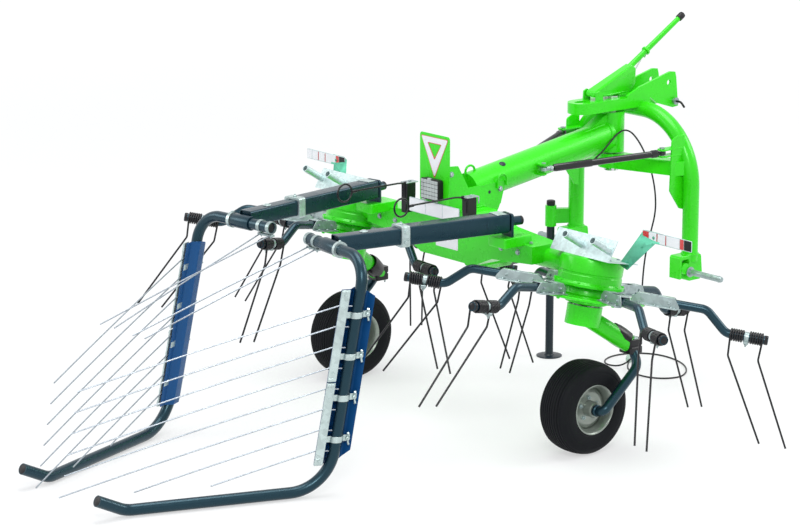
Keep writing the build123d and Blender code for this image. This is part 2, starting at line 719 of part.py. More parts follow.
with BuildPart() as swath_beam:
    with BuildSketch(former_frame):
        Rectangle(SLEEVE, SLEEVE)
        Circle(PIVOT_R + PLAY, mode=Mode.SUBTRACT)
    extrude(amount=SLEEVE_PLUG)
    with BuildSketch(Plane(in_former(0, 0, SLEEVE_PLUG), x_dir=former_frame.x_dir, z_dir=former_frame.z_dir)):
        Rectangle(SLEEVE, SLEEVE)
        Rectangle(SLEEVE - 10, SLEEVE - 10, mode=Mode.SUBTRACT)
    extrude(amount=SLEEVE_LENGTH - SLEEVE_PLUG)
    with BuildSketch(Plane(in_former(0, 0, 400), x_dir=former_frame.x_dir, z_dir=former_frame.z_dir)):
        Rectangle(CARRIER, CARRIER)
        Rectangle(CARRIER - 8, CARRIER - 8, mode=Mode.SUBTRACT)
    extrude(amount=CROSS_AT - 12 - 400)
    add(round_bar(on_top_run(CROSS_MIDDLE - 55), on_top_run(CROSS_MIDDLE + 55), CROSS_R))
    add(round_bar(tube_top, tube_shoulder, guard_r + PLAY), mode=Mode.SUBTRACT)
write_pair(swath_beam, "swath_beam")

# ---------------------------------------------------------------- swath formers: guard tubes
tube_heel = Vector(577, AXLE_Y - 1217, 28)
tube_toe = Vector(282, AXLE_Y - 2014, 28)
tube_tip = Vector(275, AXLE_Y - 2144, 92)
with BuildPart() as swath_tube:
    add(plain_bar([tube_top, tube_shoulder, tube_heel, tube_toe, tube_tip], [120, 200, 110], guard_r, 16, 4))
write_pair(swath_tube, "swath_tube")

# ---------------------------------------------------------------- swath formers: boards and rods
toe_ahead = Vector(sin(radians(BOARD_TOE)), cos(radians(BOARD_TOE)), 0)
outboard = Vector(cos(radians(BOARD_TOE)), -sin(radians(BOARD_TOE)), 0)
drop = tube_heel - tube_shoulder
drop_per_mm = drop / -drop.Z
ROD_COUNT = 8
ROD_LENGTHS = (1112, 1112, 1112, 1112, 1112, 1122, 792, 452)
FIRST_ROD = 182.0
BOARD_TOP = 118.0
BOARD_END = 829.0
SHEET_FOLD = [(-80, 5), (-42, 5), (-22, -28), (24, -28), (40, -22), (66, 3)]
STRIP_REAR = -82.0
STRIP_IN = 14.0
ROD_OUT = 10.5
STUB_END = -27.0
CLAMP_BAR = 20.0


def at_drop(below, ahead, out):
    """A point beside the guard tube's drop, at a height below its shoulder."""
    return tube_shoulder + drop_per_mm * below + toe_ahead * ahead + outboard * out


def down_the_drop(outline, top, low):
    """A bar of one horizontal section that leans with the guard tube's drop."""
    with BuildPart() as bar:
        with BuildSketch(Plane(at_drop(top, 0, 0), x_dir=toe_ahead, z_dir=(0, 0, -1))):
            Polygon(*outline, align=None)
        extrude(amount=(low - top) * drop_per_mm.length, dir=drop.normalized())
    return bar.part


def span(low, high, inner, outer):
    """A rectangle in the drop's section, from its limits ahead and outboard."""
    return [(low, inner), (high, inner), (high, outer), (low, outer)]


folded = SHEET_FOLD + [(ahead, out - BOARD_THICK) for ahead, out in reversed(SHEET_FOLD)]
with BuildPart() as swath_board:
    add(down_the_drop(folded, BOARD_TOP, BOARD_END))
    for gap in (0.5, 2.5, 4.5, 6.5):
        middle = FIRST_ROD + gap * ROD_PITCH
        levels = (middle - CLAMP_BAR / 2, middle + CLAMP_BAR / 2)
        for bar in (span(-80, -76, 3, 30), span(-80, 46, 26, 31), span(34, 46, -26, 30), span(-16, 16, -29, 0)):
            add(down_the_drop(bar, *levels))
    add(swath_tube.part, mode=Mode.SUBTRACT)
write_pair(largest(swath_board), "swath_board")

with BuildPart() as swath_strip:
    strip = span(STRIP_REAR, STRIP_REAR + STRIP_WIDTH, STRIP_IN, STRIP_IN + STRIP_THICK)
    add(down_the_drop(strip, BOARD_TOP, BOARD_END))
    add(swath_board.part, mode=Mode.SUBTRACT)
write_pair(largest(swath_strip), "swath_strip")

droop_cos = cos(radians(ROD_DROOP))
droop_sin = sin(radians(ROD_DROOP))
with BuildPart() as windrow_rods:
    for number, reach in enumerate(ROD_LENGTHS):
        below = FIRST_ROD + number * ROD_PITCH
        bend = at_drop(below, STRIP_REAR, ROD_OUT)
        end = bend - toe_ahead * (reach * droop_cos) - Vector(0, 0, reach * droop_sin)
        add(plain_bar([at_drop(below + 4, STUB_END, ROD_OUT), bend, end], [30], ROD_WIRE / 2, 6, 1))
UPPER_TIPS = (Vector(117, AXLE_Y - 1850, 689), Vector(109, AXLE_Y - 1787, 664))
with BuildPart() as upper_rods:
    clip_middle = on_top_run(28) - Vector(0, 0, guard_r + 8)
    with BuildSketch(Plane(clip_middle, x_dir=across, z_dir=(0, 0, 1))):
        Rectangle(96, 26)
    extrude(amount=26, both=True)
    for along, tip in zip((0, 59), UPPER_TIPS):
        start = on_top_run(along) - Vector(0, 0, guard_r + 22)
        add(plain_bar([start, tip], [], ROD_WIRE / 2, 6))
    add(round_bar(on_top_run(-60), on_top_run(300), guard_r + PLAY), mode=Mode.SUBTRACT)
with BuildPart() as all_rods:
    add(windrow_rods.part)
    add(largest(upper_rods).part)
write_pair(all_rods, "windrow_rods")

# ---------------------------------------------------------------- headstock arch
leg_foot_z = HITCH_Z + 40
BLOCK_INNER_X = 345.0
BRACE_Z = 1012.0
BRACE_HEIGHT = 65.0
with BuildPart() as headstock_arch:
    crown = ARCH_TOP_Z - ARCH_TUBE_R
    arch = [(LEG_X, leg_foot_z), (LEG_X, crown), (-LEG_X, crown), (-LEG_X, leg_foot_z)]
    add(plain_bar([(x, ARCH_Y, z) for x, z in arch], [ARCH_BEND_R, ARCH_BEND_R], ARCH_TUBE_R, 24, 5))
    for side in (-1, 1):
        hitch = [
            (AXLE_Y + 962, 525), (AXLE_Y + 1090, 525), (AXLE_Y + 1098, 560), (AXLE_Y + 1090, 645),
            (AXLE_Y + 962, 645), (AXLE_Y + 962, HITCH_Z + 30), (AXLE_Y + 990, HITCH_Z + 26),
            (AXLE_Y + 990, HITCH_Z - 26), (AXLE_Y + 962, HITCH_Z - 30),
        ]
        x_pair = sorted((side * BLOCK_INNER_X, side * HITCH_SHOULDER))
        add(side_outline(hitch, *x_pair))
        gusset_x = LEG_X - ARCH_TUBE_R
        gusset = [
            (side * (gusset_x + 12), 838), (side * (gusset_x - 2), 845),
            (side * (gusset_x - 34), 960), (side * (gusset_x - 20), 1010), (side * (gusset_x + 12), 1010),
        ]
        with BuildSketch(Plane.XZ.offset(-(ARCH_Y - 4))):
            Polygon(*gusset, align=None)
        extrude(amount=-8)
        front_pin = Vector(side * DAMPER_FRONT.X, DAMPER_FRONT.Y, DAMPER_FRONT.Z)
        for level in (-LUG_OUT, LUG_OUT):
            with Locations((front_pin.X + side * 2, front_pin.Y - 20, front_pin.Z + level)):
                Box(46, 160, LUG_THICK, align=(Align.CENTER, Align.MIN, Align.CENTER))
        with Locations(front_pin):
            Cylinder(DAMPER_PIN_R, 44)
    with BuildSketch(Plane.YZ):
        with Locations((HITCH_Y, HITCH_Z)):
            Circle(PIN_SHANK_R + PLAY)
    extrude(amount=700, both=True, mode=Mode.SUBTRACT)
headstock_arch.part.label = "headstock_arch"
export_step(headstock_arch.part, "parts/headstock_arch.step")

with BuildPart() as hitch_pins:
    for side in (-1, 1):
        for x_in, x_out, pin_r in (
            (BLOCK_INNER_X - 14, BLOCK_INNER_X, 22),
            (BLOCK_INNER_X, HITCH_SHOULDER, PIN_SHANK_R),
            (HITCH_SHOULDER, HITCH_PIN_END, HITCH_PIN_R),
        ):
            add(round_bar((side * x_in, HITCH_Y, HITCH_Z), (side * x_out, HITCH_Y, HITCH_Z), pin_r))
hitch_pins.part.label = "hitch_pins"
export_step(hitch_pins.part, "parts/hitch_pins.step")

# ---------------------------------------------------------------- headstock: lower brace
with BuildPart() as lower_brace:
    with Locations((0, SWIVEL_Y, BRACE_Z)):
        Cylinder(60, BRACE_HEIGHT, align=(Align.CENTER, Align.CENTER, Align.MIN))
    for side in (-1, 1):
        with BuildSketch(Plane.XY.offset(BRACE_Z)):
            arm = [
                (0, SWIVEL_Y - 26), (side * 60, SWIVEL_Y - 34), (side * 350, AXLE_Y + 962),
                (side * 372, AXLE_Y + 1010), (side * 372, AXLE_Y + 1045), (side * 340, AXLE_Y + 1045),
                (side * 70, SWIVEL_Y + 48), (0, SWIVEL_Y + 40),
            ]
            Polygon(*arm, align=None)
        extrude(amount=BRACE_HEIGHT)
    with Locations((0, SWIVEL_Y, BRACE_Z)):
        Cylinder(SWIVEL_PIN_R + PLAY, 300, mode=Mode.SUBTRACT)
    add(headstock_arch.part, mode=Mode.SUBTRACT)
lower_brace_clean = largest(lower_brace)
lower_brace_clean.part.label = "lower_brace"
export_step(lower_brace_clean.part, "parts/lower_brace.step")

# ---------------------------------------------------------------- headstock: mast bracket
MAST_LOW_Z = 1284.0
MAST_TOP_Z = 1334.0
MAST_HALF = 64.0
lever_pin = Vector(0, AXLE_Y + 782, 1362)
LEVER_PIN_R = 8.0
with BuildPart() as mast_bracket:
    with BuildSketch(Plane.XY.offset(MAST_LOW_Z)) as mast_plan:
        with Locations((0, AXLE_Y + 712)):
            Circle(MAST_HALF)
        with Locations((0, AXLE_Y + 712)):
            Rectangle(2 * MAST_HALF, 1085 - 712, align=(Align.CENTER, Align.MIN))
        with Locations((0, AXLE_Y + 706)):
            SlotOverall(64, 44, rotation=90, mode=Mode.SUBTRACT)
    extrude(amount=MAST_TOP_Z - MAST_LOW_Z)
    with Locations((0, AXLE_Y + 985, MAST_LOW_Z)):
        Box(2 * MAST_HALF - 24, 60, 30, align=(Align.CENTER, Align.MIN, Align.MIN), mode=Mode.SUBTRACT)
    cheek = [
        (AXLE_Y + 940, 1322), (AXLE_Y + 940, 1345), (AXLE_Y + 1020, 1378), (AXLE_Y + 1215, 1428),
        (AXLE_Y + 1245, 1424), (AXLE_Y + 1252, 1400), (AXLE_Y + 1268, 1262), (AXLE_Y + 1232, 1258),
        (AXLE_Y + 1130, 1290), (AXLE_Y + 1085, 1322),
    ]
    for side in (-1, 1):
        x_pair = sorted((side * CHEEK_X, side * (CHEEK_X + CHEEK)))
        add(side_outline(cheek, *x_pair))
        ear = [
            (lever_pin.Y - 22, MAST_TOP_Z - 4), (lever_pin.Y - 18, lever_pin.Z + 12), (lever_pin.Y, lever_pin.Z + 20),
            (lever_pin.Y + 18, lever_pin.Z + 12), (lever_pin.Y + 22, MAST_TOP_Z - 4),
        ]
        ear_pair = sorted((side * 38, side * 46))
        add(side_outline(ear, *ear_pair))
    with BuildSketch(Plane.YZ):
        with Locations((TOP_LINK_Y, TOP_LINK_Z), (AXLE_Y + 1240, 1288)):
            Circle(TOP_LINK_BORE_R)
    extrude(amount=100, both=True, mode=Mode.SUBTRACT)
    add(round_bar((-46, lever_pin.Y, lever_pin.Z), (46, lever_pin.Y, lever_pin.Z), LEVER_PIN_R))
    with Locations((0, SWIVEL_Y, 1300)):
        Cylinder(SWIVEL_PIN_R + PLAY, 300, mode=Mode.SUBTRACT)
    add(headstock_arch.part, mode=Mode.SUBTRACT)
mast_bracket.part.label = "mast_bracket"
export_step(mast_bracket.part, "parts/mast_bracket.step")

with BuildPart() as swivel_pin:
    with Locations((0, SWIVEL_Y, BRACE_Z - 16)):
        Cylinder(SWIVEL_PIN_R, MAST_TOP_Z - BRACE_Z + 16, align=(Align.CENTER, Align.CENTER, Align.MIN))
    with Locations((0, SWIVEL_Y, MAST_TOP_Z)):
        Cylinder(34, 10, align=(Align.CENTER, Align.CENTER, Align.MIN))
    with Locations((0, SWIVEL_Y, BRACE_Z - 16)):
        Cylinder(34, 16, align=(Align.CENTER, Align.CENTER, Align.MIN))
swivel_pin.part.label = "swivel_pin"
export_step(swivel_pin.part, "parts/swivel_pin.step")

# ---------------------------------------------------------------- headstock: lock lever
lever_apex = Vector(0, AXLE_Y + 1014, 1472)
lever_tip = Vector(0, AXLE_Y + 1351, 1677)
LEVER_TUBE_R = 17.0
LEVER_HALF = 32.0
with BuildPart() as lock_lever:
    wedge = [
        (lever_pin.Y - 14, lever_pin.Z - 10), (AXLE_Y + 862, 1348), (AXLE_Y + 1000, 1352), (AXLE_Y + 1030, 1470),
        (AXLE_Y + 1006, 1492), (AXLE_Y + 940, 1452), (lever_pin.Y - 16, lever_pin.Z + 12),
    ]
    add(side_outline(wedge, -LEVER_HALF, LEVER_HALF))
    inside = [
        (lever_pin.Y - 40, lever_pin.Z - 30), (AXLE_Y + 995, 1330), (AXLE_Y + 1012, 1440), (AXLE_Y + 1002, 1462),
        (AXLE_Y + 944, 1440), (lever_pin.Y - 40, lever_pin.Z - 12),
    ]
    add(side_outline(inside, -LEVER_HALF + 6, LEVER_HALF - 6), mode=Mode.SUBTRACT)
    add(round_bar(lever_apex - Vector(0, 8, 5), lever_tip, LEVER_TUBE_R))
    add(side_outline(inside, -LEVER_HALF + 6, LEVER_HALF - 6), mode=Mode.SUBTRACT)
    with BuildSketch(Plane.YZ):
        with Locations((lever_pin.Y, lever_pin.Z)):
            Circle(LEVER_PIN_R + PLAY)
    extrude(amount=100, both=True, mode=Mode.SUBTRACT)
lock_lever.part.label = "lock_lever"
export_step(lock_lever.part, "parts/lock_lever.step")

# ---------------------------------------------------------------- parking stand and its socket
with BuildPart() as parking_stand:
    with Locations((STAND_X, STAND_Y, 0)):
        Cylinder(FOOT_R, 8, align=(Align.CENTER, Align.CENTER, Align.MIN))
        Cylinder(STAND_TUBE_R, STAND_TOP_Z, align=(Align.CENTER, Align.CENTER, Align.MIN))
parking_stand.part.label = "parking_stand"
export_step(parking_stand.part, "parts/parking_stand.step")

with BuildPart() as stand_socket:
    with Locations((STAND_X, STAND_Y, SOCKET_LOW_Z)):
        Cylinder(27, SOCKET_HIGH_Z - SOCKET_LOW_Z, align=(Align.CENTER, Align.CENTER, Align.MIN))
    reach = [
        (STAND_X - 8, STAND_Y + 16), (-LEG_X - 20, ARCH_Y), (-LEG_X + 10, ARCH_Y), (STAND_X + 14, STAND_Y - 18),
    ]
    with BuildSketch(Plane.XY.offset(SOCKET_LOW_Z + 15)):
        Polygon(*reach, align=None)
    extrude(amount=SOCKET_HIGH_Z - SOCKET_LOW_Z - 30)
    with Locations((STAND_X, STAND_Y, SOCKET_LOW_Z)):
        Cylinder(STAND_TUBE_R + PLAY, 400, mode=Mode.SUBTRACT)
    add(headstock_arch.part, mode=Mode.SUBTRACT)
stand_socket_clean = largest(stand_socket)
stand_socket_clean.part.label = "stand_socket"
export_step(stand_socket_clean.part, "parts/stand_socket.step")

# ---------------------------------------------------------------- swing dampers
damper_line = (DAMPER_REAR - DAMPER_FRONT).normalized()
damper_length = (DAMPER_REAR - DAMPER_FRONT).length
damper_frame = Plane(origin=DAMPER_FRONT, x_dir=damper_line.cross(Vector(0, 0, 1)), z_dir=damper_line)
BARREL_START = 44.0
BARREL_END = damper_length - 108
ROD_INSIDE = 300.0
BORE_DEPTH = 300.0
EYE = 15.0

with BuildPart() as damper_barrel:
    with BuildSketch(Plane(DAMPER_FRONT + damper_line * BARREL_START, x_dir=damper_frame.x_dir, z_dir=damper_line)):
        Circle(DAMPER_R)
    extrude(amount=BARREL_END - BARREL_START)
    with BuildSketch(damper_frame):
        Circle(9.5)
    extrude(amount=BARREL_START)
    with Locations(DAMPER_FRONT):
        Cylinder(17, EYE)
    with BuildSketch(Plane(DAMPER_FRONT + damper_line * (BARREL_END - BORE_DEPTH), x_dir=damper_frame.x_dir, z_dir=damper_line)):
        Circle(DAMPER_ROD_R + PLAY + 0.01)
    extrude(amount=BORE_DEPTH + 1, mode=Mode.SUBTRACT)
    with Locations(DAMPER_FRONT):
        Cylinder(DAMPER_PIN_R + PLAY, 100, mode=Mode.SUBTRACT)
    add(headstock_arch.part, mode=Mode.SUBTRACT)
write_pair(damper_barrel, "damper_barrel")

with BuildPart() as damper_rod:
    add(round_bar(DAMPER_FRONT + damper_line * ROD_INSIDE, DAMPER_REAR - damper_line * 10, DAMPER_ROD_R))
    with Locations(DAMPER_REAR):
        Cylinder(17, EYE)
        Cylinder(OPEN_EYE_R, 100, mode=Mode.SUBTRACT)
write_pair(damper_rod, "damper_rod")

# ---------------------------------------------------------------- lighting cable and its plug
cable_points = [
    (75, AXLE_Y + 700, 1062), (77, AXLE_Y + 757, 1095), (75, AXLE_Y + 811, 1133), (73, AXLE_Y + 856, 1170),
    (72, AXLE_Y + 905, 1192), (70, AXLE_Y + 955, 1180), (66, AXLE_Y + 1000, 1142), (60, AXLE_Y + 1042, 1094),
    (54, AXLE_Y + 1085, 1030), (48, AXLE_Y + 1125, 950), (44, AXLE_Y + 1152, 858), (42, AXLE_Y + 1158, 765),
    (40, AXLE_Y + 1130, 672), (40, AXLE_Y + 1098, 572), (40, AXLE_Y + 1084, 466), (40, AXLE_Y + 1080, 358),
    (34, AXLE_Y + 1086, 250), (20, AXLE_Y + 1092, 150), (-10, AXLE_Y + 1082, 62), (-62, AXLE_Y + 1050, 12),
    (-150, AXLE_Y + 1034, 6), (-222, AXLE_Y + 1094, 5), (-250, AXLE_Y + 1190, 5), (-218, AXLE_Y + 1294, 5),
    (-130, AXLE_Y + 1360, 5), (-14, AXLE_Y + 1362, 5), (96, AXLE_Y + 1322, 5), (190, AXLE_Y + 1242, 5),
    (236, AXLE_Y + 1150, 5), (196, AXLE_Y + 1064, 5), (110, AXLE_Y + 1024, 5), (24, AXLE_Y + 1020, 14),
    (-50, AXLE_Y + 1080, 14), (-100, AXLE_Y + 1140, 12),
]


def corner_radii(points):
    """A radius for each corner that leaves a straight run between neighbouring arcs."""
    radii = []
    for number in range(1, len(points) - 1):
        before = Vector(points[number]) - Vector(points[number - 1])
        after = Vector(points[number + 1]) - Vector(points[number])
        turn = radians(before.get_angle(after))
        radii.append(0.45 * min(before.length, after.length) / tan(turn / 2))
    return radii


cable_bends = corner_radii(cable_points)
print("cable radii", [round(value) for value in cable_bends])
with BuildPart() as light_cable:
    with BuildLine() as cable_route:
        FilletPolyline(*cable_points, radius=cable_bends)
    with BuildSketch(Plane(origin=cable_route.line @ 0, z_dir=cable_route.line % 0)):
        RegularPolygon(CABLE / 2, 6)
    sweep(path=cable_route.line)
light_cable.part.label = "light_cable"
export_step(light_cable.part, "parts/light_cable.step")

PLUG_R = 19.0
cable_end = Vector(cable_points[-1])
plug_run = (cable_end - Vector(cable_points[-2])).normalized()
plug_run = Vector(plug_run.X, plug_run.Y, 0).normalized()
with BuildPart() as plug:
    plug_base = Vector(cable_end.X, cable_end.Y, PLUG_R + 1)
    with BuildSketch(Plane(plug_base, z_dir=plug_run)):
        Circle(PLUG_R)
    extrude(amount=62)
    add(light_cable.part, mode=Mode.SUBTRACT)
plug.part.label = "plug"
export_step(plug.part, "parts/plug.step")
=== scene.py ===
# Twin rotor hay rake: the finished surfaces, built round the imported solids.
# Metres throughout. +X is the machine's right, +Y is ahead, +Z is up.
from math import ceil, cos, pi, radians, sin, sqrt, tan

import bpy
import bmesh
from mathutils import Matrix, Vector
from mathutils.geometry import tessellate_polygon


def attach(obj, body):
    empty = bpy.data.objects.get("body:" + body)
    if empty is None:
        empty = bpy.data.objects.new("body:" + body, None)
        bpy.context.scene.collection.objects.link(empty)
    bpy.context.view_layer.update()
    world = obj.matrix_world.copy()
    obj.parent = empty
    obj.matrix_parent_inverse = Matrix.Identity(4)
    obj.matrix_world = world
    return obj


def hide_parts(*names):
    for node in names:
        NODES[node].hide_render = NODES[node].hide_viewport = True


bl_info = {
    "name": "Twin rotor hay rake",
    "version": (1, 0, 0),
    "blender": (4, 5, 0),
    "location": "View3D > Sidebar > Hay rake",
    "description": "Builds a mounted twin rotor hay rake, piece by piece",
    "category": "Add Mesh",
}

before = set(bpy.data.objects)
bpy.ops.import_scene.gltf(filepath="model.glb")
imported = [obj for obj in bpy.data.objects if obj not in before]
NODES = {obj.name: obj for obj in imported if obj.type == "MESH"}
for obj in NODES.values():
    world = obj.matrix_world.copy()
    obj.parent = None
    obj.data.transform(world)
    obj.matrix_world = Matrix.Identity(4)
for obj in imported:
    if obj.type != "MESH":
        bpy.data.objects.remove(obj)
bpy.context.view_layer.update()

# ------------------------------------------------------------------ sizes of the solids
AXLE_Y = 0.400
ROTOR_X = 0.796
ROTOR_TILT = radians(11.8)
COIL_PLANE_Z = 0.636
RIGHT_PHASE = radians(40.3)
ARM_COUNT = 6
ARM_R = 0.019
ARM_RISE = 0.085
ARM_ROUTE = [(0.200, 0, ARM_RISE), (0.510, 0, ARM_RISE), (0.606, 0, 0), (0.785, 0, 0)]
HUB_TOP = 0.062
COIL_MID = 0.694
COIL_GAP = 0.026
COIL_LENGTH = 0.052
TYRE_R = 0.203
TYRE_HALF = 0.0825
TREAD_HALF = 0.060
RIM_R = 0.103
RIM_HALF = 0.070
WHEEL_CENTRE = (ROTOR_X, AXLE_Y, TYRE_R)
LEG_AXLE_X = 0.8845
LEG_BLOCK = (0.860, 0.615, 0.452)
BOOM_SLOPE = radians(9.3)
BOOM_REAR = (0.430, 1.024)
SHAFT = (0, 0.630, 0.715)
FORMER_FRONT = Vector((0.453, 0.249, 0.974))
FORMER_TOE = radians(9.9)
TUBE_TOP = Vector((0.135, -0.561, 0.962))
TUBE_SHOULDER = Vector((0.570, -0.611, 0.962))
TUBE_HEEL = Vector((0.577, -0.817, 0.028))
TUBE_TOE = Vector((0.282, -1.614, 0.028))
TUBE_TIP = Vector((0.275, -1.744, 0.092))
GUARD_R = 0.02415
BOARD_TOE = radians(25.4)
ROD_WIRE_R = 0.003
ROD_REACHES = (1.112, 1.112, 1.112, 1.112, 1.112, 1.1217, 0.792, 0.452)
FIRST_ROD = 0.182
ROD_PITCH = 0.084
ROD_DROOP = radians(15.0)
LEG_X = 0.382
ARCH_Y = 1.445
ARCH_TUBE_R = 0.0375
BRACE_TOP = 1.0775
HITCH_Y = 1.420
HITCH_Z = 0.567
TOP_LINK_Y = 1.640
TOP_LINK_Z = 1.288
STAND_X = -0.4515
STAND_Y = 1.3456
STAND_PIN_Z = 0.700
DAMPER_FRONT = Vector((0.330, 1.305, 1.123))
DAMPER_REAR = Vector((0.094, 0.797, 1.077))
SIDES = {"right": 1, "left": -1}
RIGHT, AHEAD, UP = Vector((1, 0, 0)), Vector((0, 1, 0)), Vector((0, 0, 1))
MIRROR = Matrix.Diagonal((-1, 1, 1, 1))


# ------------------------------------------------------------------ routes and places
def route(points, bends, step=radians(9)):
    """Points along straight runs that meet in tangent arcs."""
    line = [Vector(points[0])]
    for number, bend in enumerate(bends, 1):
        corner = Vector(points[number])
        before = (corner - Vector(points[number - 1])).normalized()
        after = (Vector(points[number + 1]) - corner).normalized()
        turn = before.angle(after)
        start = corner - before * bend * tan(turn / 2)
        centre = corner + (after - before).normalized() * (bend / cos(turn / 2))
        count = max(2, ceil(turn / step))
        line += around(centre, start - centre, before * bend, count, turn)
    line.append(Vector(points[-1]))
    return line


def around(centre, across, up, count, sweep=2 * pi, start=0.0):
    """Points round part of an ellipse, from its two half axes. The last closes a whole turn."""
    centre, across, up = Vector(centre), Vector(across), Vector(up)
    angles = [start + sweep * n / count for n in range(count + 1)]
    return [centre + across * cos(angle) + up * sin(angle) for angle in angles]


def axes(origin, x, y, z):
    """A matrix from its three columns, which need not be square to each other."""
    grid = Matrix((Vector(x), Vector(y), Vector(z))).transposed().to_4x4()
    grid.translation = Vector(origin)
    return grid


def place(origin, along, across=None):
    """A matrix whose Z is along, whose X is as near as can be to across, at an origin."""
    z = Vector(along).normalized()
    if across is None:
        across = RIGHT if abs(z.x) < 0.9 else AHEAD
    x = Vector(across)
    x = (x - z * x.dot(z)).normalized()
    return axes(origin, x, z.cross(x), z)


def along_x(x=0, y=0, z=0):
    """A frame whose Z runs to the machine's right, with X ahead and Y up."""
    return axes((x, y, z), AHEAD, UP, RIGHT)


def facing_back(y=0):
    """A frame for plates across the machine: X to the right, Y up, Z to the rear."""
    return axes((0, y, 0), RIGHT, UP, -AHEAD)


def rounded(outline, radius, steps=4):
    """A closed outline with rounded corners, by one radius or by one for each corner."""
    count = len(outline)
    radii = radius if isinstance(radius, (list, tuple)) else [radius] * count
    result = []
    for number in range(count):
        corner = Vector(outline[number])
        before = corner - Vector(outline[number - 1])
        after = Vector(outline[(number + 1) % count]) - corner
        reach = min(before.length, after.length) * 0.49
        before.normalize()
        after.normalize()
        turn = before.angle(after, 0)
        if radii[number] <= 0 or turn < radians(4):
            result.append(corner)
            continue
        size = min(radii[number], reach / tan(turn / 2))
        start = corner - before * size * tan(turn / 2)
        centre = corner + (after - before).normalized() * (size / cos(turn / 2))
        result += around(centre, start - centre, before * size, steps, turn)
    return result


def card(x_low, x_high, y_low, y_high, radius=0, steps=4):
    """A rectangle's outline, with rounded corners if it has a radius."""
    outline = [(x_low, y_low), (x_high, y_low), (x_high, y_high), (x_low, y_high)]
    return rounded(outline, radius, steps) if radius else outline


def square(half):
    """A square tube's outline."""
    return card(-half, half, -half, half, 0.009, 5)


def circle(radius, count, centre=(0, 0)):
    """A round outline."""
    return around(centre, (radius, 0), (0, radius), count)[:-1]


def inset(outline, amount):
    """The outline moved inwards. It runs anticlockwise."""
    count = len(outline)
    moved = []
    for number in range(count):
        corner = outline[number]
        before = (corner - outline[number - 1]).normalized()
        after = (outline[(number + 1) % count] - corner).normalized()
        normal = Vector((-before.y - after.y, before.x + after.x))
        if normal.length < 1e-6:
            normal = Vector((-before.y, before.x))
        normal.normalize()
        lean = max(0.4, normal.dot(Vector((-before.y, before.x))))
        moved.append(corner + normal * (amount / lean))
    return moved


